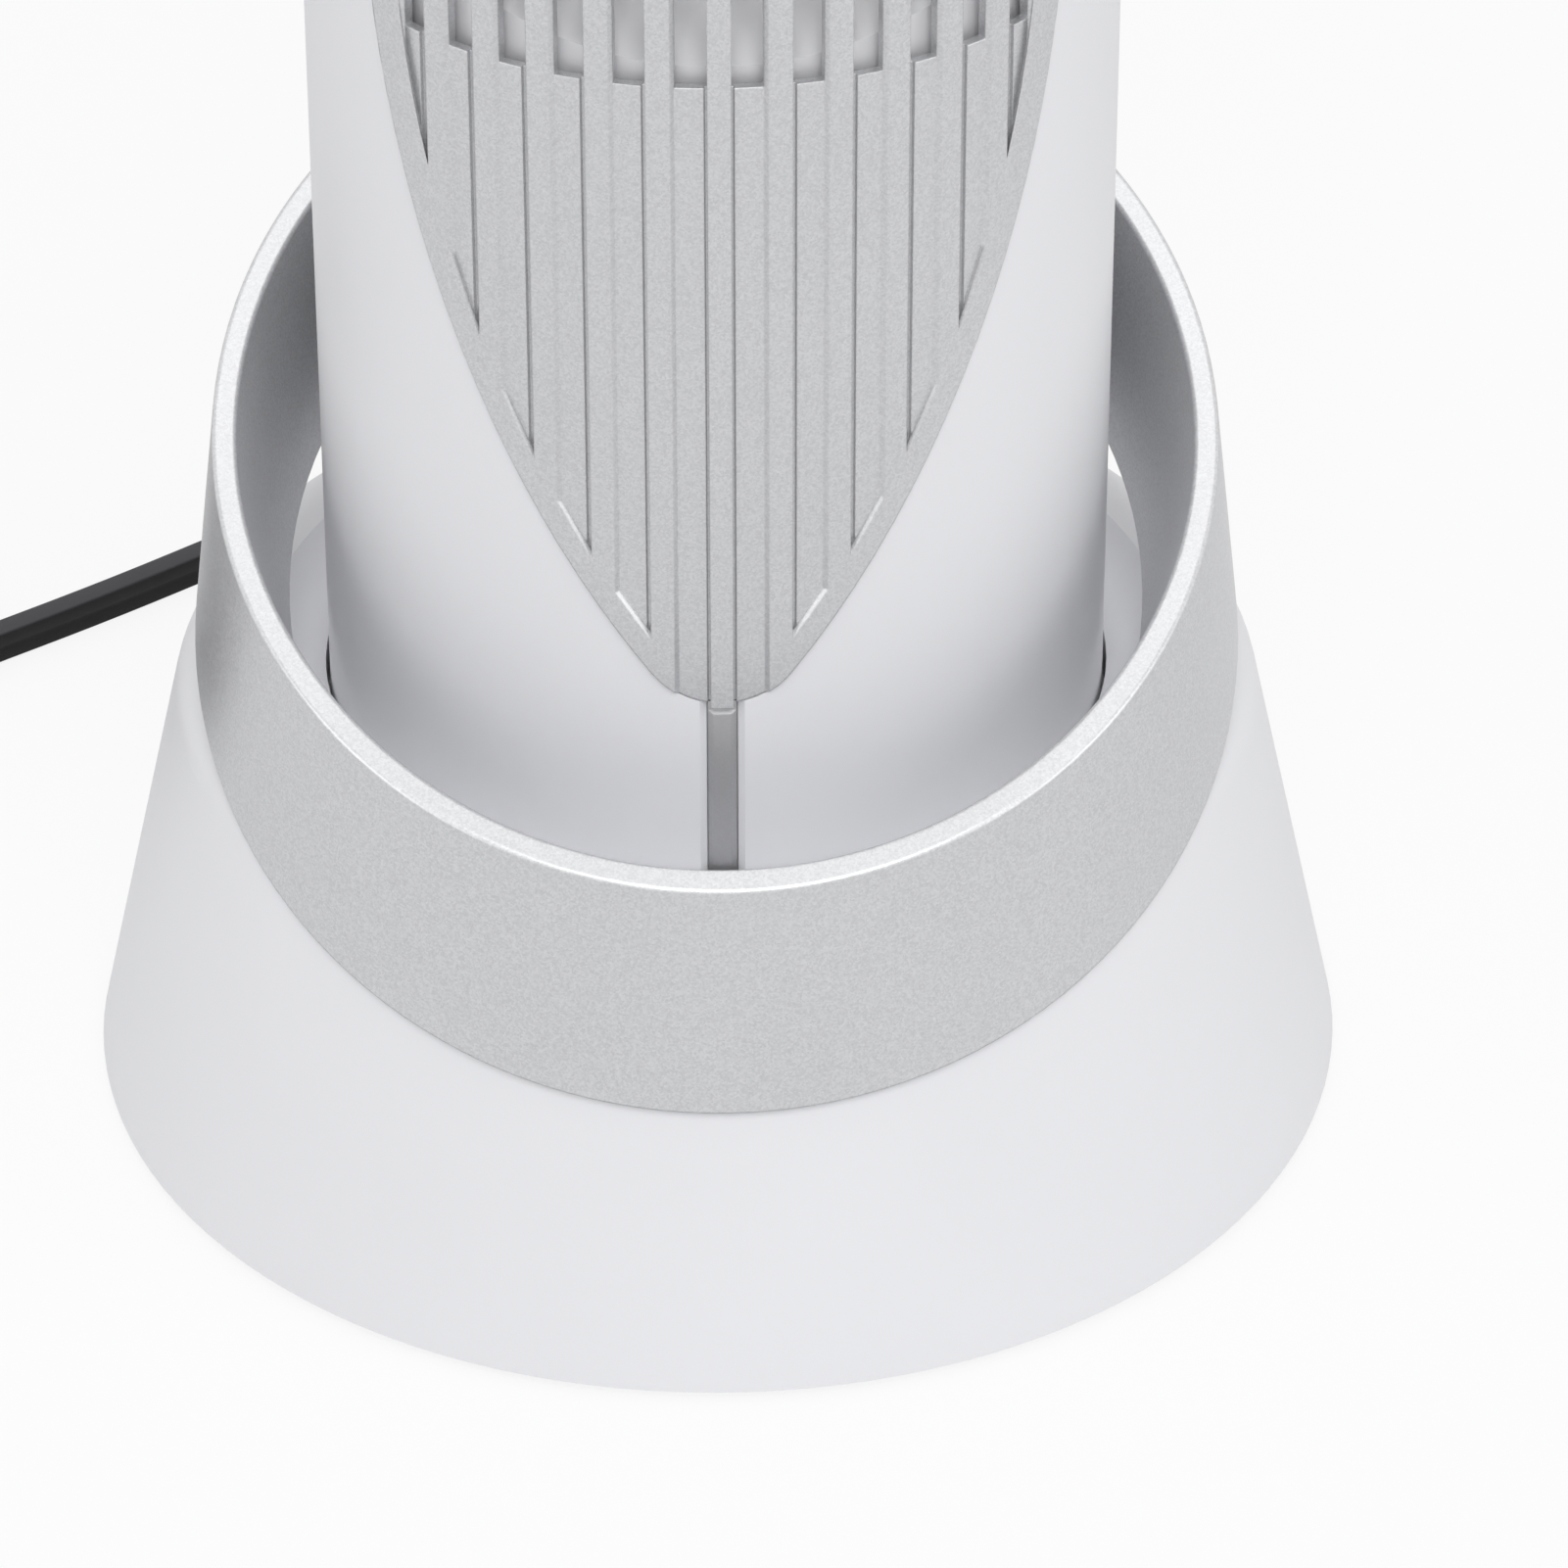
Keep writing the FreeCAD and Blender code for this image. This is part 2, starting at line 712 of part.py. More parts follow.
def leaf_prism(name, margin="0", grow=0.0):
    """Leaf outline, grown by a margin, run forward from the tower axis.

    Two side arcs meet two tip arcs in tangent; all four keep their centres as the outline grows.
    """
    body = new_body(name)
    sketch = new_sketch(body, "XZ_Plane")
    tip = sizes["leaf_tip_round"]
    rise = leaf_half() - tip
    side, offset = leaf_arc()
    swing = math.atan2(rise, offset)
    normal = Vector(0, 0, 1)
    arcs = [
        (Vector(-offset, 0, 0), side + grow, -swing, swing),
        (Vector(0, rise, 0), tip + grow, swing, math.pi - swing),
        (Vector(offset, 0, 0), side + grow, math.pi - swing, math.pi + swing),
        (Vector(0, -rise, 0), tip + grow, math.pi + swing, math.tau - swing),
    ]
    for centre, radius, start, end in arcs:
        sketch.addGeometry(Part.ArcOfCircle(Part.Circle(centre, normal, radius), start, end))
    for i in range(4):
        sketch.addConstraint(Sketcher.Constraint("Tangent", i, 2, (i + 1) % 4, 1))
    reach = "leaf_arc - leaf_half_width"
    fix_point(sketch, 0, 3, f"-({reach})", "0", (-offset, 0))
    fix_point(sketch, 2, 3, reach, "0", (offset, 0))
    for i, (centre, radius, start, end) in enumerate(arcs):
        name_of_radius = "leaf_tip_round" if i % 2 else "leaf_arc"
        fix_radius(sketch, i, f"{name_of_radius} + {margin}", radius)
    pad = body.newObject("PartDesign::Pad", name + "_pad")
    pad.Profile = sketch
    bind(pad, Length="tower_radius + leaf_thickness")
    return place(body, z="leaf_middle")


def panel_cutters(name, count, bottom, top):
    """Upright recesses of the leaf: a sloped outer wall, a flat floor and a groove at the inner wall.

    The groove is wider towards the sides, so that as much of it shows past each rib from the front.
    """
    cutters = []
    edge = "panel_width / 2"
    outside = "-grille_outside - panel_depth"
    height = f"{top} - {bottom}"
    for i in range(count):
        step = i - (count - 1) / 2
        groove_width = f"(groove_width + (panel_depth + groove_depth) * tan({abs(step)} * panel_angle))"
        wedge = doc.addObject("Part::Wedge", f"{name}_{i}")
        bind(wedge, Ymin=outside, Ymax="panel_depth - grille_outside",
             Zmin=bottom, Z2min=bottom, Zmax=top, Z2max=top)
        if step > 0:
            bind(wedge, Xmin=f"-{edge}", X2min=f"-{edge}",
                 Xmax=f"{edge} + panel_slope", X2max=f"{edge} - panel_slope")
            inner = f"-{edge}"
        else:
            bind(wedge, Xmin=f"-{edge} - panel_slope", X2min=f"panel_slope - {edge}", Xmax=edge, X2max=edge)
            inner = f"{edge} - {groove_width}"
        groove = box(f"{name}_groove_{i}", inner, outside, bottom, groove_width,
                     "2 * panel_depth + groove_depth", height)
        cutter = joined(f"{name}_pair_{i}", [wedge, groove])
        cutters.append(place_by_steps(cutter, ("0; 0; 0", "0; 0; 1", f"{step} * panel_angle")))
    return joined(name, cutters)


def slot_cutters(name, count, bottom, top):
    """Upright slots through the leaf, as wide as the floors of its recesses."""
    slots = []
    for i in range(count):
        step = i - (count - 1) / 2
        start = "-panel_width / 2" if step > 0 else "panel_slope - panel_width / 2"
        slot = box(f"{name}_{i}", "0", "0", "0", "panel_width - panel_slope",
                   "leaf_thickness + 2 * panel_depth", f"{top} - {bottom}")
        place_by_steps(slot, ("0; 0; 0", "0; 0; 1", f"{step} * panel_angle"),
                       (f"{start}; -grille_outside - panel_depth; {bottom}", "0; 0; 1", "0"))
        slots.append(slot)
    return joined(name, slots)


def bevel_panel_ends(relief):
    """Bevel the slanted lower ends of the leaf's recesses."""
    doc.recompute()
    surface = sizes["tower_radius"] + sizes["leaf_proud"]
    side, offset = leaf_arc()
    middle = leaf_middle()
    slot_bottom = middle - sizes["slot_drop"]
    ends = []
    for index, edge in enumerate(relief.Shape.Edges, 1):
        first, last = edge.FirstParameter, edge.LastParameter
        spots = [edge.valueAt(first), edge.valueAt((first + last) / 2), edge.valueAt(last)]
        off_surface = max(abs(math.hypot(spot.x, spot.y) - surface) for spot in spots)
        off_arc = max(abs(math.hypot(abs(spot.x) + offset, spot.z - middle) - side + sizes["leaf_border"])
                      for spot in spots)
        if max(off_surface, off_arc) < same_place and max(spot.z for spot in spots) < slot_bottom:
            ends.append((index, sizes["panel_end"], sizes["panel_end"]))
    bevel = doc.addObject("Part::Chamfer", "leaf_bevelled")
    bevel.Base = relief
    bevel.Edges = ends
    print("bevelled panel ends", len(ends))
    return bevel


def make_leaf():
    """Curved leaf plate with upright panels, open slots above and a middle rib that ends in a tongue."""
    height = "2 * leaf_half"
    low = "(leaf_middle - leaf_half)"
    top = "(leaf_middle + leaf_half)"
    outline = leaf_prism("leaf_outline")
    inner_outline = leaf_prism("panel_outline", "(-leaf_border)", -sizes["leaf_border"])
    sheet_tube = tube("leaf_tube", "grille_outside", "grille_inside", height, z=low)
    plate = common("leaf_plate", [sheet_tube, outline])
    side_panels = common("side_panels", [panel_cutters("panels", panel_count, low, top), inner_outline])
    tip_panels = common("tip_panels", [panel_cutters("tip_slots", 2, low, "leaf_middle"), outline])
    relief = cut("leaf_relief", plate, joined("panel_set", [side_panels, tip_panels]))
    window = box("slot_window", "-leaf_half_width", "-tower_radius - leaf_thickness", "slot_bottom",
                 "2 * leaf_half_width", "tower_radius + leaf_thickness", "slot_top - slot_bottom")
    slots = common("leaf_slots", [slot_cutters("slots", panel_count, low, top), inner_outline, window])
    pierced = cut("leaf_pierced", bevel_panel_ends(relief), slots)
    rib = "(2 * grille_outside * sin(panel_angle / 2) - panel_width)"
    tongue = common("leaf_tongue", [
        tube("tongue_tube", "grille_outside", "tower_radius + tongue_gap", "2 * tongue_length",
             z=f"{low} - tongue_length"),
        box("tongue_box", f"-{rib} / 2", "-grille_outside", f"{low} - tongue_length",
            rib, "grille_outside", "2 * tongue_length"),
    ])
    node(joined("leaf", [pierced, tongue]), "leaf_grille")


def make_strip():
    """Bright strip in its bevelled groove, from the leaf tip down to the tower foot."""
    tip = "(tower_foot + leaf_foot)"
    face = "(tower_radius - strip_inset)"
    half = "(strip_width / 2)"
    strip = box("strip", f"-{half}", f"-{face}", "tower_foot", "strip_width", "strip_thickness",
                f"{tip} - fit_gap - tower_foot")
    node(strip, "tail_strip")

    groove = new_body("strip_groove")
    floor = f"-({face} - strip_thickness - strip_gap)"
    lip = "-(tower_radius - groove_bevel)"
    side = f"({half} + strip_gap)"
    mouth = f"({side} + 2 * groove_bevel)"
    outer = "-(tower_radius + groove_bevel)"
    outline = [(f"-{side}", floor), (side, floor), (side, lip),
               (mouth, outer), (f"-{mouth}", outer), (f"-{side}", lip)]
    add_feature(groove, "Pad", [outline], f"{tip} + leaf_tip_round / 2 - tower_foot", start="tower_foot")
    return groove


def make_tower():
    make_leaf()
    groove = make_strip()
    back_bore = "boss_seat - boss_screw_length - fit_gap"

    front = joined("front_blank", [half_tube("front_half", half_turn),
                                   bosses("front_bosses", Rotation(Vector(1, 0, 0), 90))])
    front = cut("front_window", front, leaf_prism("leaf_opening", "leaf_gap", sizes["leaf_gap"]))
    front = cut("front_grooved", front, groove)
    front_bores = boss_bores("front_bores", "pilot", back_bore, f"-({back_bore})")
    node(cut("front_bored", front, front_bores), "tower_front")

    rear = joined("rear_blank", [half_tube("rear_half", Rotation()), bosses("rear_bosses", along_y)])
    intake = radial_slots("intake", intake_count, "180", "intake_bottom", "intake_top")
    rear = cut("rear_slotted", rear, intake)
    shank_bores = boss_bores("shank_bores", "screw_radius + fit_gap", "0", "tower_radius")
    head_bores = boss_bores("head_bores", "screw_head_radius + fit_gap", "boss_seat", "tower_radius")
    node(cut("rear_bored", rear, joined("rear_bores", [shank_bores, head_bores])), "tower_rear")

    screws = [screw(f"tower_screw_{i}", "boss_screw_length", x, "boss_seat", z, Rotation(Vector(1, 0, 0), 90))
              for i, (x, z) in enumerate(boss_spots())]
    node(group("tower_screw_set", screws), "tower_screws")


# Top cap, switch and knob

def make_top():
    lip = "tower_inside - fit_gap"
    cap = revolved("top_cap", [
        ("shaft_radius + fit_gap", "cap_top"),
        ("tower_radius", "cap_top"),
        ("tower_radius", "tower_top"),
        (lip, "tower_top"),
        (lip, "tower_top - cap_lip"),
        (f"{lip} - tower_wall", "tower_top - cap_lip"),
        (f"{lip} - tower_wall", "cap_top - cap_wall"),
        ("shaft_radius + fit_gap", "cap_top - cap_wall"),
    ])
    round_edge(cap, "cap_round")
    add_feature(cap, "Pocket", [("0", "-lens_place", "lens_radius + shaft_gap")],
                "cap_height", start="cap_top")
    node(cap, "top_cap")

    lens = cylinder("lens", "lens_radius", "cap_wall + lens_proud", y="-lens_place",
                    z="cap_top - cap_wall")
    node(lens, "indicator_lens")

    case = box("switch_case", "-switch_side / 2", "-switch_side / 2", "cap_ceiling - switch_height",
               "switch_side", "switch_side", "switch_height")
    bore = cylinder("switch_bore", "shaft_radius + shaft_gap", "shaft_grip", z="cap_ceiling - shaft_grip")
    node(cut("switch_body", case, bore), "rotary_switch")

    knob_floor = "(cap_top + fit_gap)"
    shaft = cylinder("switch_axle", "shaft_radius", "2 * shaft_grip + cap_wall - fit_gap",
                     z="cap_ceiling - shaft_grip + fit_gap")
    node(shaft, "switch_shaft")

    knob = revolved("control_knob", [
        ("shaft_radius + screw_gap", knob_floor),
        ("knob_radius", knob_floor),
        ("knob_radius - knob_taper", f"{knob_floor} + knob_height"),
        ("0", f"{knob_floor} + knob_height"),
        ("0", f"{knob_floor} + shaft_grip"),
        ("shaft_radius + screw_gap", f"{knob_floor} + shaft_grip"),
    ])
    round_edge(knob, "knob_round")
    flute = add_feature(knob, "Pocket", [("0", "knob_radius + flute_radius - flute_inset", "flute_radius")],
                        "flute_height", start=knob_floor, reverse=True)
    flutes = knob.newObject("PartDesign::PolarPattern", "knob_flutes")
    flutes.Originals = [flute]
    flutes.Axis = (flute.Profile[0], ["N_Axis"])
    flutes.Angle = 360
    flutes.Occurrences = flute_count
    knob.Tip = flutes
    doc.recompute()
    marker = [("-marker_width / 2", "-knob_radius"), ("marker_width / 2", "-knob_radius"),
              ("marker_width / 2", "marker_length - knob_radius"),
              ("-marker_width / 2", "marker_length - knob_radius")]
    add_feature(knob, "Pocket", [marker], "marker_depth", start=f"{knob_floor} + knob_height")
    node(knob, "control_knob")


# Air path, heater and fan

def make_heater():
    reach = "(tower_radius + heater_front)"
    outer = box("duct_outer", "-duct_half_width", "-tower_radius", "vent_low",
                "2 * duct_half_width", reach, "vent_height")
    inner = box("duct_inner", "-duct_half_width + duct_wall", "-tower_radius", "vent_low + duct_wall",
                "2 * (duct_half_width - duct_wall)", reach, "vent_height - 2 * duct_wall")
    limit = cylinder("duct_limit", "tower_inside - fit_gap", "vent_height", z="vent_low")
    guide = doc.addObject("Part::Wedge", "duct_guide")
    bind(guide, Xmin="-duct_half_width", X2min="-duct_half_width",
         Xmax="duct_half_width", X2max="duct_half_width", Ymin="-tower_radius", Ymax="heater_front",
         Zmin="vent_low", Z2min="vent_low", Zmax="slot_bottom", Z2max="vent_low + guide_rise")
    walls = joined("duct_blank", [cut("duct_walls", outer, inner), guide])
    node(common("duct", [walls, limit]), "air_duct")

    block = box("frame_block", "-heater_half_width", "heater_front", "vent_low",
                "2 * heater_half_width", "heater_depth", "vent_height")
    ears = box("frame_ears", "-ear_reach", "heater_back - ear_depth",
               "vent_middle - ear_height / 2", "2 * ear_reach", "ear_depth", "ear_height")
    half_hole = "(heater_half_width - heater_border)"
    hole = box("frame_hole", f"-{half_hole}", "heater_front", "vent_low + heater_border",
               f"2 * {half_hole}", "heater_depth", "vent_height - 2 * heater_border")
    node(cut("frame", joined("frame_blank", [block, ears]), hole), "heater_frame")

    make_core()

    tabs = [box(f"tab_{i}", f"{x} - tab_width / 2", "heater_front + heater_depth / 2 - tab_thickness / 2",
                "vent_low - tab_length", "tab_width", "tab_thickness", "tab_length")
            for i, x in enumerate(("-tab_place", "tab_place"))]
    node(group("tabs", tabs), "heater_tabs")

    cutout = cylinder("cutout", "cutout_radius", "cutout_height", y="heater_front + heater_depth / 2",
                      z="vent_low - cutout_height")
    node(cutout, "thermal_cutout")


def make_core():
    """Finned columns with heating bars between them, filling the frame from side to side."""
    core_width = "(2 * (heater_half_width - heater_border - core_gap))"
    column = f"(({core_width} - {fin_columns - 1} * bar_width) / {fin_columns})"
    bottom = "(vent_low + heater_border + core_gap)"
    height = "(vent_high - vent_low - 2 * heater_border - 2 * core_gap)"
    left = f"(-{core_width} / 2)"
    front = "heater_front + core_inset"
    depth = "heater_depth - 2 * core_inset"
    slot_height = sizes["slot_drop"] + leaf_half() - sizes["slot_crown"]
    core_margin = sizes["heater_border"] + sizes["core_gap"] - sizes["duct_margin"]
    gap_count = int((slot_height - 2 * core_margin - sizes["fin_plate"]) / sizes["fin_pitch"])
    columns = []
    bars = []
    for i in range(fin_columns):
        start = f"{left} + {i} * ({column} + bar_width)"
        body = new_body(f"fin_column_{i}")
        outline = [(start, bottom), (f"{start} + {column}", bottom),
                   (f"{start} + {column}", f"{bottom} + {height}"), (start, f"{bottom} + {height}")]
        add_feature(body, "Pad", [outline], depth, role="XZ_Plane", start=f"-({front})", reverse=True)
        side = f"{start} + fin_rail"
        gap_low = f"{bottom} + fin_plate"
        gap_top = f"{bottom} + fin_pitch"
        window = [(side, gap_low), (f"{side} + {column} - 2 * fin_rail", gap_low),
                  (f"{side} + {column} - 2 * fin_rail", gap_top), (side, gap_top)]
        gap = add_feature(body, "Pocket", [window], "heater_depth", role="XZ_Plane", start=f"-({front})")
        gaps = body.newObject("PartDesign::LinearPattern", f"fin_gaps_{i}")
        gaps.Originals = [gap]
        gaps.Direction = (gap.Profile[0], ["V_Axis"])
        bind(gaps, Length=f"{gap_count - 1} * fin_pitch")
        gaps.Occurrences = gap_count
        body.Tip = gaps
        columns.append(body)
        if i:
            bars.append(box(f"bar_{i}", f"{start} - bar_width", front, bottom, "bar_width", depth, height))
    node(group("columns", columns), "heater_fins")
    node(group("bars", bars), "heating_bars")


def make_fan():
    def round_piece(name, radius, start, length):
        return cylinder(name, radius, length, y=start, z="vent_middle", turn=along_y)

    flange = box("shroud_flange", "-heater_half_width", "heater_back", "vent_low", "2 * heater_half_width",
                 "flange_thickness", "vent_height")
    wall = round_piece("shroud_wall", "shroud_radius", "heater_back", "shroud_depth")
    opening = round_piece("shroud_opening", "tunnel_radius", "heater_back", "shroud_depth")
    ring = cut("shroud_ring", joined("shroud_blank", [flange, wall]), opening)
    arms = []
    for i in range(arm_count):
        arm = doc.addObject("Part::Box", f"arm_{i}")
        bind(arm, Length="tunnel_radius + shroud_wall / 2", Width="arm_width", Height="arm_thickness")
        place_by_steps(arm, ("0; shroud_back - arm_thickness; vent_middle", "1; 0; 0", "-90"),
                       ("0; 0; 0", "0; 0; 1", f"arm_angle + {360 / arm_count * i}"),
                       ("0; -arm_width / 2; 0", "0; 0; 1", "0"))
        arms.append(arm)
    cup = round_piece("motor_cup", "motor_radius + fit_gap + cup_wall", "shroud_back - arm_thickness",
                      "arm_thickness + cup_depth")
    bore = round_piece("cup_bore", "motor_radius + fit_gap", "shroud_back", "cup_depth")
    eye = round_piece("shaft_eye", "2 * motor_shaft", "shroud_back - arm_thickness", "arm_thickness")
    shroud = cut("shroud", joined("shroud_carrier", [ring, cup] + arms), joined("cup_cuts", [bore, eye]))
    node(shroud, "fan_shroud")

    can = round_piece("fan_can", "motor_radius", "shroud_back", "motor_length")
    seat = round_piece("fan_can_bore", "motor_shaft + shaft_gap", "shroud_back", "motor_length / 2")
    node(cut("fan_motor_body", can, seat), "fan_motor")

    shaft = round_piece("fan_axle", "motor_shaft", "heater_back + fan_start",
                        "shroud_depth - fan_start + motor_length / 2 - fit_gap")
    node(shaft, "fan_shaft")

    hub = cylinder("fan_hub", "hub_radius", "hub_depth")
    blades = []
    for i in range(blade_count):
        blade = doc.addObject("Part::Box", f"blade_{i}")
        bind(blade, Length="fan_radius", Width="blade_chord", Height="blade_thickness")
        place_by_steps(blade, ("0; 0; hub_depth / 2", "0; 0; 1", f"{360 / blade_count * i}"),
                       ("hub_radius / 2; 0; 0", "1; 0; 0", "blade_angle"),
                       ("0; -blade_chord / 2; -blade_thickness / 2", "0; 0; 1", "0"))
        blades.append(blade)
    reach = cylinder("fan_reach", "fan_radius", "hub_depth")
    wheel = common("fan_wheel", [joined("fan_blank", [hub] + blades), reach])
    fan = cut("fan", wheel, cylinder("fan_bore", "motor_shaft + screw_gap", "hub_depth"))
    place(fan, "0", "heater_back + fan_start", "vent_middle", along_y)
    node(fan, "fan_impeller")


# Cord

def rounded_path(points):
    """Straight runs joined by tangent arcs, each as large as its two runs allow."""
    edges = []
    radii = []
    start = points[0]
    for before, corner, after in zip(points, points[1:], points[2:]):
        back = (before - corner).normalize()
        ahead = (after - corner).normalize()
        half = (math.pi - back.getAngle(ahead)) / 2
        reach = bend_share * min(before.distanceToPoint(corner), after.distanceToPoint(corner))
        radius = reach / math.tan(half)
        middle = corner + (back + ahead).normalize() * (radius / math.cos(half) - radius)
        edges.append(Part.LineSegment(start, corner + back * reach).toShape())
        edges.append(Part.Arc(corner + back * reach, middle, corner + ahead * reach).toShape())
        start = corner + ahead * reach
        radii.append(radius)
    edges.append(Part.LineSegment(start, points[-1]).toShape())
    print("cord radii", [round(radius, 1) for radius in radii])
    return Part.Wire(edges)


def arc_from(start, tangent, end):
    """Arc that leaves a point along a tangent and ends at another point."""
    chord = end - start
    along = Vector(chord).normalize()
    lean = tangent.getAngle(along)
    side = (tangent - along * tangent.dot(along)).normalize()
    middle = (start + end) / 2 + side * (chord.Length / 2 * math.tan(lean / 2))
    return Part.Arc(start, middle, end).toShape()


def biarc(start, start_tangent, end, end_tangent):
    """Two arcs that join two points and share a tangent where they meet."""
    span = end - start
    both = start_tangent + end_tangent
    square = 2 * (1 - start_tangent.dot(end_tangent))
    linear = span.dot(both)
    reach = (-linear + math.sqrt(linear ** 2 + square * span.dot(span))) / square
    meeting = (start + start_tangent * reach + end - end_tangent * reach) / 2
    second = arc_from(end, end_tangent * -1, meeting)
    return [arc_from(start, start_tangent, meeting), second]


def swept_cord(path, radius):
    """Faceted tube along a path, with a flat below where it starts level."""
    first = path.OrderedEdges[0]
    start = first.valueAt(first.FirstParameter)
    heading = first.tangentAt(first.FirstParameter)
    side = heading.cross(Vector(0, 0, 1)).normalize()
    upward = side.cross(heading)
    corner = radius / math.cos(math.pi / cord_sides)
    angles = [math.tau * i / cord_sides for i in range(cord_sides + 1)]
    section = Part.makePolygon([
        start + side * (corner * math.cos(angle)) + upward * (corner * math.sin(angle)) for angle in angles
    ])
    tube_shape = path.makePipeShell([section], True, False)
    ideal = cord_sides * radius ** 2 * math.tan(math.pi / cord_sides) * path.Length
    print("tube length", round(path.Length, 1), "volume ratio", round(tube_shape.Volume / ideal, 4))
    return tube_shape


def spiral_point(turn, centre, start_angle):
    """Point of the coil after a number of turns: in on the lower layer, out on the upper one."""
    layer_turns = sizes["coil_turns"]
    pitch = 2 * sizes["cord_radius"] + sizes["coil_gap"]
    climb = min(max(turn - layer_turns, 0), climb_turns)
    inward = min(turn, layer_turns) + climb - climb ** 2 / climb_turns
    outward = max(turn - layer_turns - climb_turns, 0)
    radius = sizes["coil_radius"] - pitch * (inward - outward)
    rise = pitch * (1 - math.cos(math.pi * climb / climb_turns)) / 2
    angle = start_angle - math.tau * turn
    return centre + Vector(radius * math.cos(angle), radius * math.sin(angle), rise)


def make_coil(start, heading):
    """Coil of the spare cord: one tube wound in, up a layer and out again."""
    radius = sizes["cord_radius"]
    pitch = 2 * radius + sizes["coil_gap"]
    lean = math.atan(pitch / math.tau / sizes["coil_radius"])
    lead = start + heading * (2 * radius)
    start_angle = math.atan2(heading.y, heading.x) + math.pi / 2 + lean
    centre = lead - Vector(math.cos(start_angle), math.sin(start_angle), 0) * sizes["coil_radius"]
    total = 2 * sizes["coil_turns"] + climb_turns
    quarters = round(total * 4)
    points = [spiral_point(i / 4, centre, start_angle) for i in range(quarters + 1)]
    tangents = []
    for i in range(quarters + 1):
        ahead = spiral_point(min(i / 4 + slope_step, total), centre, start_angle)
        behind = spiral_point(max(i / 4 - slope_step, 0), centre, start_angle)
        tangents.append((ahead - behind).normalize())
    tangents[0] = heading
    edges = [Part.LineSegment(start, lead).toShape()]
    for i in range(quarters):
        edges.extend(biarc(points[i], tangents[i], points[i + 1], tangents[i + 1]))
    tail = points[-1] + tangents[-1] * sizes["coil_tail"]
    edges.append(Part.LineSegment(points[-1], tail).toShape())
    path = Part.Wire(Part.sortEdges(edges)[0])
    report_least_gap(centre, start_angle, total)

    coil = doc.addObject("Part::Feature", "coil")
    coil.Shape = swept_cord(path, radius)
    node(coil, "cord_coil")

    make_tie(centre, start_angle - math.radians(sizes["tie_angle"]))
    make_plug(tail, tangents[-1])


def report_least_gap(centre, start_angle, total):
    """Measure how near the turns of the coil come to each other."""
    count = round(total * coil_samples)
    samples = [spiral_point(i / coil_samples, centre, start_angle) for i in range(count)]
    apart = round(coil_samples / 3)
    least = min(samples[i].distanceToPoint(samples[j])
                for i in range(len(samples)) for j in range(i + apart, len(samples)))
    print("least gap between turns", round(least - 2 * sizes["cord_radius"], 2))


def make_tie(centre, angle):
    """Strap round the bundle of turns."""
    pitch = 2 * sizes["cord_radius"] + sizes["coil_gap"]
    slack = sizes["cord_radius"] + sizes["tie_gap"]
    bore = sizes["coil_radius"] - (sizes["coil_turns"] + climb_dip) * pitch - sizes["cord_radius"]
    inner = math.sqrt(bore ** 2 - (sizes["tie_width"] / 2) ** 2) - sizes["tie_gap"]
    outer = sizes["coil_radius"] + slack
    low = -slack
    high = pitch + slack
    thickness = sizes["tie_thickness"]
    width = sizes["tie_width"]
    strap = Part.makeBox(outer - inner + 2 * thickness, width, high - low + 2 * thickness,
                         Vector(inner - thickness, -width / 2, low - thickness))
    hole = Part.makeBox(outer - inner, width, high - low, Vector(inner, -width / 2, low))
    tie = doc.addObject("Part::Feature", "tie")
    tie.Shape = strap.cut(hole)
    tie.Placement = FreeCAD.Placement(centre, Rotation(Vector(0, 0, 1), math.degrees(angle)))
    node(tie, "cord_tie")


def make_plug(start, heading):
    """Two-pin plug that rests on the floor at the end of the coil."""
    upward = Vector(0, 0, 1)
    frame = FreeCAD.Placement(start, Rotation(upward.cross(heading), upward, heading, "ZYX"))
    half_height = start.z
    sleeve = doc.addObject("Part::Cone", "plug_sleeve")
    bind(sleeve, Radius1="cord_radius + tie_gap", Radius2="plug_sleeve_radius", Height="plug_sleeve")
    block = doc.addObject("Part::Box", "plug_block")
    bind(block, Length="plug_width", Height="plug_length")
    block.Width = 2 * half_height
    place(block, "-plug_width / 2", str(-half_height), "plug_sleeve")
    doc.recompute()
    rounded = doc.addObject("Part::Fillet", "plug_rounded")
    rounded.Base = block
    rounded.Edges = [(index, sizes["plug_round"], sizes["plug_round"])
                     for index, edge in enumerate(block.Shape.Edges, 1)
                     if abs(edge.Vertexes[0].Z - edge.Vertexes[1].Z) > sizes["plug_round"]]
    body = joined("plug", [sleeve, rounded])
    body.Placement = frame
    node(body, "plug_body")

    pins = [box(f"pin_{i}", f"{side} * pin_spacing / 2 - pin_thickness / 2", "-pin_width / 2",
                "plug_sleeve + plug_length", "pin_thickness", "pin_width", "pin_length")
            for i, side in enumerate((-1, 1))]
    blades = group("pins", pins)
    blades.Placement = frame
    node(blades, "plug_pins")


def make_cord():
    gland = revolved("cord_gland", [
        ("0", "gland_seat - gland_flange"),
        ("gland_flange_radius", "gland_seat - gland_flange"),
        ("gland_flange_radius", "gland_seat"),
        ("gland_radius", "gland_seat"),
        ("gland_radius", "base_radius"),
        ("gland_tip_radius", "base_radius + gland_reach"),
        ("0", "base_radius + gland_reach"),
    ])
    place(gland, "0", "0", "gland_height", along_y)
    node(gland, "cord_gland")

    points = [Vector(*point) for point in cord_route]
    cord = doc.addObject("Part::Feature", "cord")
    cord.Shape = swept_cord(rounded_path(points), sizes["cord_radius"])
    node(cord, "power_cord")
    heading = points[-1] - points[-2]
    heading.z = 0
    make_coil(points[-1], heading.normalize())


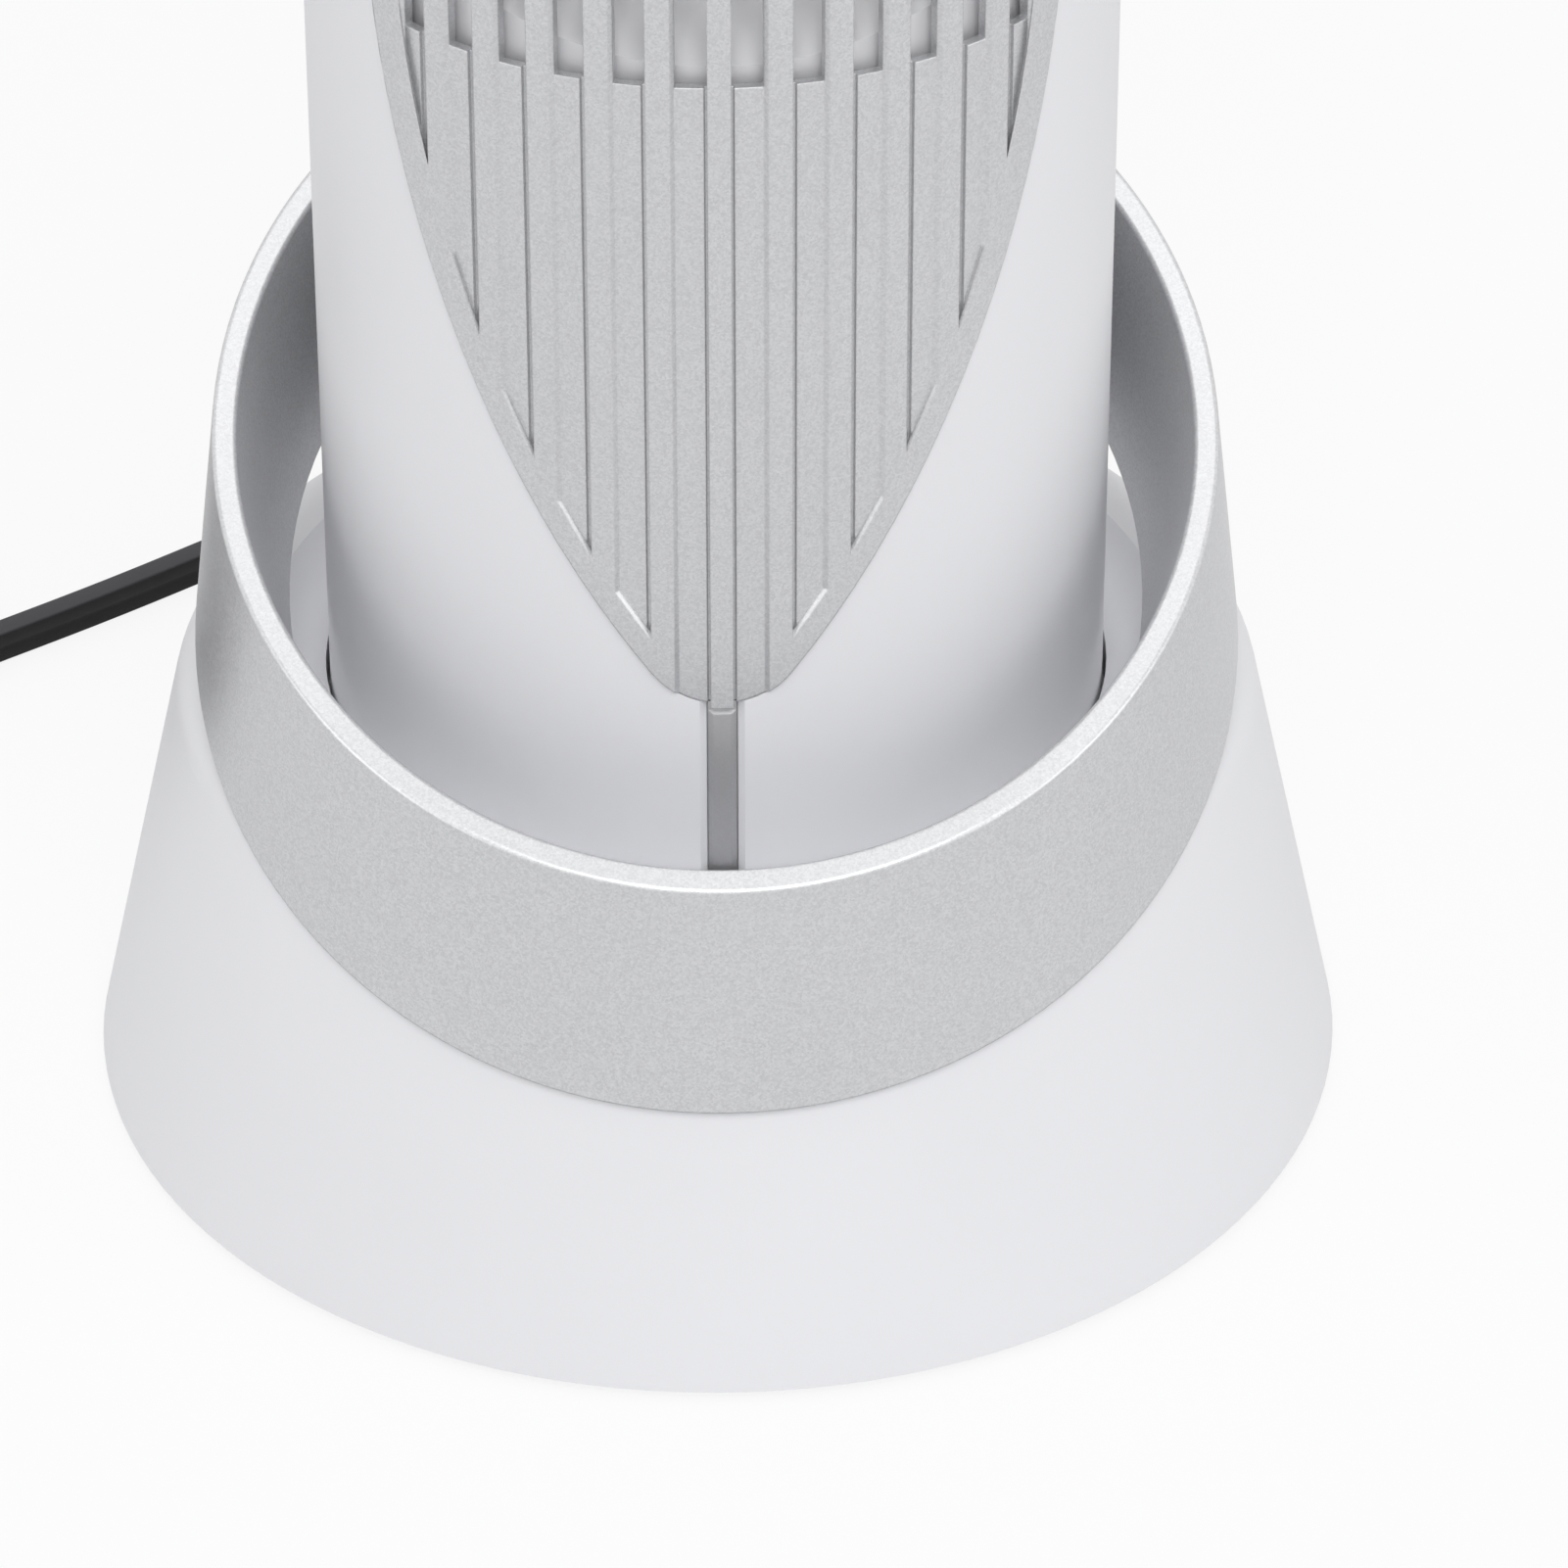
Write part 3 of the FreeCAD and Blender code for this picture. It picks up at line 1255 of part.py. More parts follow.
def write_parts():
    """Check every object and write one file for each piece."""
    doc.recompute()
    for item in doc.Objects:
        if "Invalid" in item.State or "Error" in item.State:
            raise RuntimeError(f"{item.Label} failed: {item.State}")
    for item in nodes:
        if item.Shape.isNull() or not item.Shape.isValid():
            raise RuntimeError(f"{item.Label} has no valid shape")
    os.makedirs("parts", exist_ok=True)
    for item in nodes:
        item.Shape.exportStep(f"parts/{item.Label}.step")
        print(item.Label, len(item.Shape.Solids), "solids", round(item.Shape.Volume), "mm3")


make_base()
make_swing_drive()
make_tower()
make_top()
make_heater()
make_fan()
make_cord()
write_parts()
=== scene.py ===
import bmesh
import bpy
import math
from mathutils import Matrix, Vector


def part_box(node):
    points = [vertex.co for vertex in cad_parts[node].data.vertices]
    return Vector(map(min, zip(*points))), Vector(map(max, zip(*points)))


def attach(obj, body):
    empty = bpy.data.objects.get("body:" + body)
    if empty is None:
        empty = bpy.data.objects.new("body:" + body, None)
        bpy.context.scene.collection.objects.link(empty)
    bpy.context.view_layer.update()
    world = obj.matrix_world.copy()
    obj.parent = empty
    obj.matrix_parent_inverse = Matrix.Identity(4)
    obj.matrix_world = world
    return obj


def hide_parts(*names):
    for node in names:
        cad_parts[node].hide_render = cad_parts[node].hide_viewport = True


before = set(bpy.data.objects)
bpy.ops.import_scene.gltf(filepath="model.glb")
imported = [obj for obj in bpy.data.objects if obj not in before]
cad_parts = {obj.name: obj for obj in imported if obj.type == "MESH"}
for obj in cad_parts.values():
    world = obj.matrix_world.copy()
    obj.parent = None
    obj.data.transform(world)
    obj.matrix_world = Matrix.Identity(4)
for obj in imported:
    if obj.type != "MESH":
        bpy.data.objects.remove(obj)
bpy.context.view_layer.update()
print("frame loaded:", len(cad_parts), "nodes")


# a wrapped socket, so that shader sums read as sums
class Wire:
    def __init__(self, paint, socket):
        self.paint = paint
        self.socket = socket

    def sum(self, operation, first, second):
        return self.paint.add("ShaderNodeMath", {"operation": operation}, {0: first, 1: second})

    def __add__(self, other):
        return self.sum("ADD", self, other)

    def __radd__(self, other):
        return self.sum("ADD", other, self)

    def __mul__(self, other):
        return self.sum("MULTIPLY", self, other)

    def __rmul__(self, other):
        return self.sum("MULTIPLY", other, self)


# the node tree of a material or a world, emptied and built up again
class Paint:
    def __init__(self, owner):
        owner.use_nodes = True
        self.owner = owner
        self.tree = owner.node_tree
        self.tree.nodes.clear()

    # a node's type, its settings, then the values or links of its sockets
    def add(self, kind, settings=None, sockets=None, out=0):
        node = self.tree.nodes.new(kind)
        for name, value in (settings or {}).items():
            setattr(node, name, value)
        for name, value in (sockets or {}).items():
            if isinstance(value, Wire):
                self.tree.links.new(value.socket, node.inputs[name])
            else:
                node.inputs[name].default_value = value
        return Wire(self, node.outputs[out]) if len(node.outputs) else None

    def place(self):
        return self.add("ShaderNodeTexCoord", out="Object")

    def noise(self, scale, detail=2.0, place=None):
        sockets = {"Vector": place or self.place(), "Scale": scale, "Detail": detail}
        return self.add("ShaderNodeTexNoise", None, sockets)

    # a Mix node's colour sockets share their names with others, so they go by number
    def blend(self, factor, first, second):
        return self.add("ShaderNodeMix", {"data_type": "RGBA"}, {0: factor, 6: first, 7: second}, 2)

    # a colour that a mask moves between two of its own tones
    def shade(self, mask, colour, low, high):
        return self.blend(mask, tone(colour, low), tone(colour, high))

    def bump(self, height, strength, distance, normal=None):
        sockets = {"Height": height, "Strength": strength, "Distance": distance}
        if normal:
            sockets["Normal"] = normal
        return self.add("ShaderNodeBump", None, sockets)

    # whether the eye, a reflection or a clear body looks at it
    def seenBy(self):
        rays = ("Is Camera Ray", "Is Glossy Ray", "Is Transmission Ray")
        return [self.add("ShaderNodeLightPath", out=ray) for ray in rays]

    def close(self, sockets):
        surface = self.add("ShaderNodeBsdfPrincipled", None, sockets)
        self.add("ShaderNodeOutputMaterial", None, {"Surface": surface})
        return self.owner


def tone(colour, share):
    return tuple(min(1.0, value * share) for value in colour) + (1.0,)


# a value that a mask moves by its spread, half of it to each side
def around(middle, spread, mask):
    return middle - spread / 2 + mask * spread


# moulded plastic: a faint cloud of tone, a fine satin skin and slow ripples in the wall
plastic = {
    "cloudScale": 38.0,
    "ripple": 0.06,
    "rippleDepth": 0.0015,
    "skinScale": 2600.0,
    "skinDetail": 1.0,
    "skinDepth": 0.0002,
    "shineSpread": 0.08,
    "specular": 0.42,
}


def plasticFinish(name, colour, roughness, skin=0.05, cloud=0.015):
    paint = Paint(bpy.data.materials.new(name))
    slow = paint.noise(plastic["cloudScale"])
    fine = paint.noise(plastic["skinScale"], plastic["skinDetail"])
    ripple = paint.bump(slow, plastic["ripple"], plastic["rippleDepth"])
    return paint.close({
        "Base Color": paint.shade(slow, colour, 1 - cloud, 1 + cloud),
        "Roughness": around(roughness, plastic["shineSpread"], fine),
        "Normal": paint.bump(fine, skin, plastic["skinDepth"], ripple),
        "Specular IOR Level": plastic["specular"],
    })


# metallic paint: flakes in two sizes change tone and slope from speck to speck
silver = {
    "smallScale": 4200.0,
    "coarseScale": 1500.0,
    "coarseDetail": 1.0,
    "driftScale": 24.0,
    "toneShares": (0.55, 0.3, 0.15),  # of the small flakes, the coarse flakes and the slow drift
    "slopeShares": (0.5, 0.5),  # of the small and the coarse flakes
    "flakeDepth": 0.0002,
    "shineSpread": 0.1,
    "edgeRadius": 0.0003,  # moulded edges catch the light
    "edgeSamples": 6,
}


def silverFinish(name, colour, roughness, metallic, flake=0.15, tilt=0.16):
    paint = Paint(bpy.data.materials.new(name))
    cellSockets = {"Vector": paint.place(), "Scale": silver["smallScale"]}
    cells = paint.add("ShaderNodeTexVoronoi", None, cellSockets, "Color")
    small = paint.add("ShaderNodeSeparateColor", None, {"Color": cells})
    coarse = paint.noise(silver["coarseScale"], silver["coarseDetail"])
    drift = paint.noise(silver["driftScale"])
    smallTone, coarseTone, driftTone = silver["toneShares"]
    mixed = small * smallTone + coarse * coarseTone + drift * driftTone
    smallSlope, coarseSlope = silver["slopeShares"]
    slope = small * smallSlope + coarse * coarseSlope
    edge = paint.add("ShaderNodeBevel", {"samples": silver["edgeSamples"]}, {"Radius": silver["edgeRadius"]})
    return paint.close({
        "Base Color": paint.shade(mixed, colour, 1 - flake, 1 + flake),
        "Metallic": metallic,
        "Roughness": around(roughness, silver["shineSpread"], mixed),
        "Normal": paint.bump(slope, tilt, silver["flakeDepth"], edge),
    })


# plain metal: drawn lines along one axis and a slightly uneven shine
metal = {
    "lineScale": 1800.0,
    "line": 0.08,
    "lineDepth": 0.0002,
    "cloudScale": 60.0,
    "tones": (0.93, 1.05),
    "shineSpread": 0.12,
}


def metalFinish(name, colour, roughness, stretch=(1.0, 1.0, 0.06)):
    paint = Paint(bpy.data.materials.new(name))
    drawn = paint.add("ShaderNodeMapping", None, {"Vector": paint.place(), "Scale": stretch})
    lines = paint.noise(metal["lineScale"], place=drawn)
    slow = paint.noise(metal["cloudScale"])
    return paint.close({
        "Base Color": paint.shade(slow, colour, *metal["tones"]),
        "Metallic": 1.0,
        "Roughness": around(roughness, metal["shineSpread"], lines),
        "Normal": paint.bump(lines, metal["line"], metal["lineDepth"]),
    })


# rubber and soft vinyl: dull cloudy bloom over a fine pebble, and a painted sheen: a lighter tone, by the
# given share, where a piece marks its narrow edges
rubber = {
    "bloomScale": 90.0,
    "tones": (0.85, 1.2),
    "pebbleScale": 1500.0,
    "pebbleDepth": 0.0002,
    "shineSpread": 0.12,
}


def rubberFinish(name, colour, roughness, shine, pebble, paintedSheen=1.0):
    paint = Paint(bpy.data.materials.new(name))
    bloom = paint.noise(rubber["bloomScale"])
    fine = paint.noise(rubber["pebbleScale"])
    cloudy = paint.shade(bloom, colour, *rubber["tones"])
    # painted sheen: the marked narrow edges take a lighter base colour that stands in for the light they
    # catch
    edge = paint.add("ShaderNodeAttribute", {"attribute_name": "paintedSheenEdge"}, None, "Fac")
    return paint.close({
        "Base Color": paint.blend(edge, cloudy, tone(colour, paintedSheen)),
        "Roughness": around(roughness, rubber["shineSpread"], bloom),
        "Normal": paint.bump(fine, pebble, rubber["pebbleDepth"]),
        "Specular IOR Level": shine,
    })


# fired ceramic: pores and a mottled grey body
ceramic = {
    "poreScale": 900.0,
    "poreDetail": 4.0,
    "pore": 0.25,
    "poreDepth": 0.0002,
    "mottleScale": 70.0,
    "toneShares": (0.6, 0.4),  # of the pores and the mottling
    "tones": (0.82, 1.12),
    "shineSpread": 0.2,
}


def ceramicFinish(name, colour, roughness):
    paint = Paint(bpy.data.materials.new(name))
    pores = paint.noise(ceramic["poreScale"], ceramic["poreDetail"])
    mottle = paint.noise(ceramic["mottleScale"])
    poreTone, mottleTone = ceramic["toneShares"]
    return paint.close({
        "Base Color": paint.shade(pores * poreTone + mottle * mottleTone, colour, *ceramic["tones"]),
        "Roughness": around(roughness, ceramic["shineSpread"], pores),
        "Normal": paint.bump(pores, ceramic["pore"], ceramic["poreDepth"]),
    })


# coloured lens: a soft, glossy body with faint moulding waves
lens = {
    "waveScale": 420.0,
    "wave": 0.04,
    "waveDepth": 0.0003,
    "tones": (0.85, 1.1),
    "shineSpread": 0.06,
    "coat": 0.6,
    "depth": 0.15,
}


def lensFinish(name, colour, roughness):
    paint = Paint(bpy.data.materials.new(name))
    waves = paint.noise(lens["waveScale"])
    return paint.close({
        "Base Color": paint.shade(waves, colour, *lens["tones"]),
        "Roughness": around(roughness, lens["shineSpread"], waves),
        "Normal": paint.bump(waves, lens["wave"], lens["waveDepth"]),
        "Coat Weight": lens["coat"],
        "Subsurface Weight": lens["depth"],
    })


even = (1.0, 1.0, 1.0)  # a metal with no drawn lines
finishes = {finish.name: finish for finish in (
    plasticFinish("whiteMoulding", (0.835, 0.838, 0.860), roughness=0.42),
    silverFinish("silverPaint", (0.64, 0.644, 0.654), roughness=0.37, metallic=0.8),
    silverFinish("stripPaint", (0.48, 0.48, 0.49), roughness=0.46, metallic=0.85, flake=0.05, tilt=0.05),
    plasticFinish("ductMoulding", (0.86, 0.86, 0.88), roughness=0.45),
    plasticFinish("blackMoulding", (0.035, 0.035, 0.038), roughness=0.45, skin=0.12, cloud=0.08),
    plasticFinish("ivoryMoulding", (0.72, 0.68, 0.56), roughness=0.5),
    rubberFinish("strapVinyl", (0.04, 0.04, 0.042), roughness=0.5, shine=0.3, pebble=0.15),
    # the lead's narrow edges are painted 6.5 times lighter, a painted sheen
    rubberFinish("cordVinyl", (0.010, 0.010, 0.011), roughness=0.40, shine=0.2, pebble=0.08, paintedSheen=6.5),
    rubberFinish("footRubber", (0.10, 0.10, 0.105), roughness=0.75, shine=0.3, pebble=0.2),
    metalFinish("brightSteel", (0.60, 0.60, 0.61), roughness=0.28),
    metalFinish("brass", (0.72, 0.54, 0.22), roughness=0.27),
    metalFinish("zincCan", (0.46, 0.47, 0.49), roughness=0.36, stretch=even),
    metalFinish("capMetal", (0.66, 0.66, 0.67), roughness=0.34, stretch=even),
    metalFinish("finMetal", (0.74, 0.74, 0.76), roughness=0.33, stretch=(1.0, 0.1, 1.0)),
    ceramicFinish("heaterCeramic", (0.42, 0.40, 0.37), roughness=0.82),
    lensFinish("amberLens", (0.80, 0.22, 0.03), roughness=0.15),
)}

nodeFinish = {
    "whiteMoulding": ["base_shell", "bottom_plate", "foot_disc", "tower_front", "tower_rear", "top_cap"],
    "silverPaint": ["accent_ring", "leaf_grille", "control_knob"],
    "stripPaint": ["tail_strip"],
    "ductMoulding": ["air_duct", "heater_frame"],
    "blackMoulding": ["tilt_switch", "rotary_switch", "fan_shroud", "fan_impeller"],
    "ivoryMoulding": ["terminal_block", "glide_ring"],
    "strapVinyl": ["cord_tie"],
    "cordVinyl": ["cord_gland", "plug_body", "power_cord", "cord_coil"],
    "footRubber": ["foot_pads"],
    "brightSteel": ["base_screws", "motor_screws", "swing_shaft", "tower_screws",
                    "fan_shaft", "switch_shaft"],
    "brass": ["plug_pins", "heater_tabs"],
    "zincCan": ["swing_motor", "fan_motor"],
    "capMetal": ["thermal_cutout"],
    "finMetal": ["heater_fins"],
    "heaterCeramic": ["heating_bars"],
    "amberLens": ["indicator_lens"],
}

for finish, names in nodeFinish.items():
    for name in names:
        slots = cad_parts[name].data.materials
        slots.clear()
        slots.append(finishes[finish])
print("finishes set on", sum(len(names) for names in nodeFinish.values()), "nodes")


# a primitive at its size and place, alone in edit mode
def startPiece(name, add, **options):
    bpy.ops.object.select_all(action="DESELECT")
    add(**options)
    piece = bpy.context.object
    piece.name = name
    bpy.ops.object.transform_apply(location=True, rotation=True, scale=True)
    bpy.ops.object.mode_set(mode="EDIT")
    bpy.ops.mesh.select_all(action="DESELECT")
    return piece


# pick faces, edges or corners of the piece in edit mode
def pick(piece, kind, wanted):
    bpy.ops.mesh.select_mode(type=kind)
    bpy.ops.mesh.select_all(action="DESELECT")
    mesh = bmesh.from_edit_mesh(piece.data)
    for item in {"FACE": mesh.faces, "EDGE": mesh.edges, "VERT": mesh.verts}[kind]:
        if wanted(item):
            item.select_set(True)
    bmesh.update_edit_mesh(piece.data)


squareOn = 0.9  # cosine above which a face or an edge counts as square to an axis


def runsAlong(edge, axis):
    first, second = (corner.co for corner in edge.verts)
    return abs(getattr((second - first).normalized(), axis)) > squareOn


def selectAlone(piece):
    bpy.ops.object.select_all(action="DESELECT")
    piece.select_set(True)
    bpy.context.view_layer.objects.active = piece


# soften the edges, smooth what curves, and hand the piece to its body
def closePiece(piece, finish, body, replaced=(), edge=0.0, edgeSteps=2, smoothAngle=32.0):
    bpy.ops.mesh.select_all(action="SELECT")
    bpy.ops.mesh.normals_make_consistent(inside=False)
    bpy.ops.object.mode_set(mode="OBJECT")
    if edge:
        soft = piece.modifiers.new("softEdge", "BEVEL")
        soft.width = edge
        soft.segments = edgeSteps
        soft.limit_method = "ANGLE"
        bpy.ops.object.modifier_apply(modifier=soft.name)
    bpy.ops.object.shade_smooth_by_angle(angle=math.radians(smoothAngle))
    piece.data.materials.clear()
    piece.data.materials.append(finishes[finish])
    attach(piece, body)
    if replaced:
        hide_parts(*replaced)
    return piece


# flat twin lead: straight out of the gland, down to the floor, off to the left and into its coil
lead = {
    "route": [
        (0.0, 0.097, 0.012), (0.0, 0.1105, 0.012), (-0.0065, 0.1232, 0.0104), (-0.0192, 0.1309, 0.0076),
        (-0.0348, 0.1302, 0.0048), (-0.0503, 0.1219, 0.0032), (-0.066, 0.1102, 0.0029),
        (-0.085, 0.0957, 0.0029), (-0.105, 0.0817, 0.0031), (-0.124, 0.0662, 0.0033),
    ],
    "coilRadius": 0.0385,
    "pitch": 0.0055,
    "layerTurns": 3.5,
    "climbTurns": 0.5,
    "pointsPerTurn": 16,
    "stepsPerPoint": 5,
    "leadIn": 0.0046,
    "tail": 0.012,
    "halfWidth": 0.00265,
    "halfThickness": 0.0015,
    "corner": 0.0004,
    "cornerSteps": 4,
    "seam": (0.0004, 0.00012),  # half width and depth of the groove between the two cores
    "lean": [(0.0, 0.0), (0.08, 98.0), (0.15, 100.0), (0.21, 90.0)],  # metres along, degrees up on its edge
    "smoothAngle": 50.0,
    "length": 1.51,
}


# middle of the coil, and the angle at which the lead comes onto it
def coilPlace(values):
    before, last = (Vector(point) for point in values["route"][-2:])
    heading = last - before
    heading.z = 0
    heading.normalize()
    radius = values["coilRadius"]
    first = math.atan2(heading.y, heading.x) + math.pi / 2 + math.atan(values["pitch"] / math.tau / radius)
    return last + heading * values["leadIn"] - Vector((math.cos(first), math.sin(first), 0)) * radius, first


def leadPoints(values):
    points = [Vector(point) for point in values["route"]]
    radius, pitch, turns = values["coilRadius"], values["pitch"], values["layerTurns"]
    middle, first = coilPlace(values)
    total = 2 * turns + values["climbTurns"]

    # in on the lower layer, up half a turn, out again on the upper layer
    def coilPoint(turn):
        climb = min(max(turn - turns, 0), values["climbTurns"])
        inward = min(turn, turns) + climb - climb ** 2 / values["climbTurns"]
        outward = max(turn - turns - values["climbTurns"], 0)
        reach = radius - pitch * (inward - outward)
        angle = first - math.tau * turn
        rise = pitch * (1 - math.cos(math.pi * climb / values["climbTurns"])) / 2
        return middle + Vector((reach * math.cos(angle), reach * math.sin(angle), rise))

    steps = round(total * values["pointsPerTurn"])
    points += [coilPoint(step / values["pointsPerTurn"]) for step in range(steps + 1)]
    bitOfTurn = 0.01  # short enough to give the way the lead heads at its end
    away = (coilPoint(total) - coilPoint(total - bitOfTurn)).normalized()
    points.append(points[-1] + away * values["tail"])
    return points


# close points along a smooth curve that the given points pull
def smoothLine(points, stepsPerPoint):
    curve = bpy.data.curves.new("leadLine", "CURVE")
    curve.dimensions = "3D"
    curve.resolution_u = stepsPerPoint
    spline = curve.splines.new("NURBS")
    spline.points.add(len(points) - 1)
    for place, point in zip(spline.points, points):
        place.co = (*point, 1.0)
    spline.order_u = 3
    spline.use_endpoint_u = True
    holder = bpy.data.objects.new("leadLine", curve)
    line = bpy.data.meshes.new_from_object(holder)
    path = [vertex.co.copy() for vertex in line.vertices]
    bpy.data.objects.remove(holder)
    bpy.data.meshes.remove(line)
    return path


# flat section with round corners and a seam along both wide sides; the third value marks the narrow edges,
# which take a painted sheen
def twinOutline(values):
    wide, thick, corner = values["halfWidth"], values["halfThickness"], values["corner"]
    seamWidth, seamDepth = values["seam"]
    steps = values["cornerSteps"]
    outline = []
    for quarter, (across, over) in enumerate([(1, 1), (-1, 1), (-1, -1), (1, -1)]):
        for step in range(steps + 1):
            angle = math.radians(90 * (quarter + step / steps))
            outline.append((
                across * (wide - corner) + corner * math.cos(angle),
                over * (thick - corner) + corner * math.sin(angle),
                math.cos(angle) ** 2,
            ))
        if across == over:
            outline += [
                (across * seamWidth, over * thick, 0),
                (0, over * (thick - seamDepth), 0),
                (-across * seamWidth, over * thick, 0),
            ]
    return outline


# how far the lead is turned up on its edge, eased from stop to stop
def leanAt(values, along):
    stops = values["lean"]
    for (start, low), (end, high) in zip(stops, stops[1:]):
        if along < end:
            share = (along - start) / (end - start)
            return math.radians(low + (high - low) * share * share * (3 - 2 * share))
    return math.radians(stops[-1][1])


def makeLead(values, onLead):
    path = smoothLine(leadPoints(values), values["stepsPerPoint"])
    outline = twinOutline(values)
    corners = []
    along = 0.0
    for place, point in enumerate(path):
        along += (point - path[place - 1]).length if place else 0.0
        ahead = path[min(place + 1, len(path) - 1)] - path[max(place - 1, 0)]
        flat = ahead.cross(Vector((0, 0, 1))).normalized()
        rise = flat.cross(ahead).normalized()
        lean = leanAt(values, along)
        side = flat * math.cos(lean) + rise * math.sin(lean)
        up = rise * math.cos(lean) - flat * math.sin(lean)
        corners += [point + side * across + up * over for across, over, edge in outline]

    # a skin between each section and the next, then both ends
    count = len(outline)
    faces = []
    for near in range(0, len(corners) - count, count):
        far = near + count
        for spot in range(count):
            after = (spot + 1) % count
            faces.append((near + spot, near + after, far + after, far + spot))
    faces += [tuple(range(count)), tuple(range(len(corners) - count, len(corners)))]
    mesh = bpy.data.meshes.new("twinLead")
    mesh.from_pydata(corners, [], faces)
    # marks the narrow edges for the painted sheen in the cord's finish
    paintedSheen = mesh.attributes.new("paintedSheenEdge", "FLOAT", "POINT")
    paintedSheen.data.foreach_set("value", [edge for across, over, edge in outline] * len(path))
    piece = bpy.data.objects.new("twinLead", mesh)
    bpy.context.scene.collection.objects.link(piece)
    selectAlone(piece)
    bpy.ops.object.mode_set(mode="EDIT")
    closePiece(piece, "cordVinyl", "base", ["power_cord", "cord_coil"],
               smoothAngle=values["smoothAngle"])
    onLead + [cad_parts[name] for name in ("plug_body", "plug_pins")]


# strap round the coil: a rounded loop with its end laid over the top
strap = {
    "reach": (0.0174, 0.0392),  # from the coil's middle
    "height": 0.0121,
    "width": 0.007,
    "wall": 0.0006,
    "corner": 0.0012,
    "cornerSteps": 6,
    "flap": (0.020, 0.036),  # where the loose end stops and starts, from the coil's middle
    "flapRound": 1 / 3,  # of the strap's width
    "flapSteps": 5,
    "turnFromStart": 130.0,
    "edge": 0.00012,
}


def makeStrap(values, laid):
    near, far = values["reach"]
    piece = startPiece("coilStrap", bpy.ops.mesh.primitive_cube_add, size=1.0,
                       location=((near + far) / 2, 0, values["height"] / 2),
                       scale=(far - near, values["width"], values["height"]))
    pick(piece, "EDGE", lambda edge: runsAlong(edge, "y"))
    bpy.ops.mesh.bevel(offset=values["corner"], segments=values["cornerSteps"])
    pick(piece, "FACE", lambda face: abs(face.normal.y) > squareOn)
    bpy.ops.mesh.delete(type="FACE")
    bpy.ops.mesh.select_all(action="SELECT")
    bpy.ops.mesh.normals_make_consistent(inside=False)
    bpy.ops.object.mode_set(mode="OBJECT")
    wall = piece.modifiers.new("strapWall", "SOLIDIFY")
    wall.thickness = values["wall"]
    wall.offset = -1
    bpy.ops.object.modifier_apply(modifier=wall.name)

    # loose end, rounded where it stops
    stop, start = values["flap"]
    halfway = (stop + start) / 2
    flap = startPiece("strapFlap", bpy.ops.mesh.primitive_cube_add, size=1.0,
                      location=(halfway, 0, values["height"] + values["wall"] / 2),
                      scale=(start - stop, values["width"], values["wall"]))
    pick(flap, "EDGE", lambda edge: runsAlong(edge, "z") and edge.verts[0].co.x < halfway)
    bpy.ops.mesh.bevel(offset=values["width"] * values["flapRound"], segments=values["flapSteps"])
    bpy.ops.object.mode_set(mode="OBJECT")
    piece.select_set(True)
    bpy.context.view_layer.objects.active = piece
    bpy.ops.object.join()

    middle, first = coilPlace(laid)
    piece.location = (middle.x, middle.y, 0)
    piece.rotation_euler = (0, 0, first - math.radians(values["turnFromStart"]))
    bpy.ops.object.transform_apply(location=True, rotation=True, scale=True)
    bpy.ops.object.mode_set(mode="EDIT")
    return closePiece(piece, "strapVinyl", "base", ["cord_tie"], values["edge"])


# ribbed sleeve where the lead leaves the base
sleeve = {
    # places along it, and the radius at each
    "flange": [(-0.0045, 0.0070), (-0.0025, 0.0070), (-0.0025, 0.0050), (0.0, 0.0050)],
    "ribs": 6,
    "taper": (0.0050, 0.0036),
    "gapDepth": 0.0007,
    "gapShares": (0.32, 0.40),  # where a gap is deepest and where its rib begins, in shares of the pitch
    "sides": 40,
    "height": 0.012,
    "edge": 0.00015,
}


def makeSleeve(values):
    low, high = (Vector(corner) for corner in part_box("cord_gland"))
    stops = [(place - values["flange"][0][0], radius) for place, radius in values["flange"]]
    ribStart = stops[-1][0]
    pitch = (high.y - low.y - ribStart) / values["ribs"]
    first, last = values["taper"]
    deepest, ribBegin = values["gapShares"]
    for rib in range(values["ribs"]):
        place = ribStart + rib * pitch
        radius = first + (last - first) * (rib + 1) / values["ribs"]
        stops += [
            (place + pitch * deepest, radius - values["gapDepth"]),
            (place + pitch * ribBegin, radius),
            (place + pitch, radius),
        ]
    piece = startPiece("leadSleeve", bpy.ops.mesh.primitive_circle_add, vertices=values["sides"],
                       radius=stops[0][1], fill_type="NGON", location=(0, low.y, values["height"]),
                       rotation=(math.radians(90), 0, 0))
    bpy.ops.mesh.select_all(action="SELECT")
    for (before, wide), (after, narrow) in zip(stops, stops[1:]):
        bpy.ops.mesh.extrude_region_move(TRANSFORM_OT_translate={"value": (0, after - before, 0)})
        if narrow != wide:
            bpy.ops.transform.resize(value=(narrow / wide, 1, narrow / wide),
                                     center_override=(0, low.y + after, values["height"]))
    return closePiece(piece, "cordVinyl", "base", ["cord_gland"], values["edge"])


sleevePiece = makeSleeve(sleeve)
strapPiece = makeStrap(strap, lead)
makeLead(lead, [sleevePiece, strapPiece])
print("lead laid with its sleeve and strap")


# bright bar under the leaf: bevelled along both sides, its top edge just under the tongue
tailBar = {
    "sideBevel": 0.0007,
    "topBevel": 0.0004,
    "bevelDepth": 0.00045,
    "underTongue": 0.00105,
    "seat": 0.00002,  # width of the rim that stays at the foot of the bevels
    "edge": 0.00005,
}


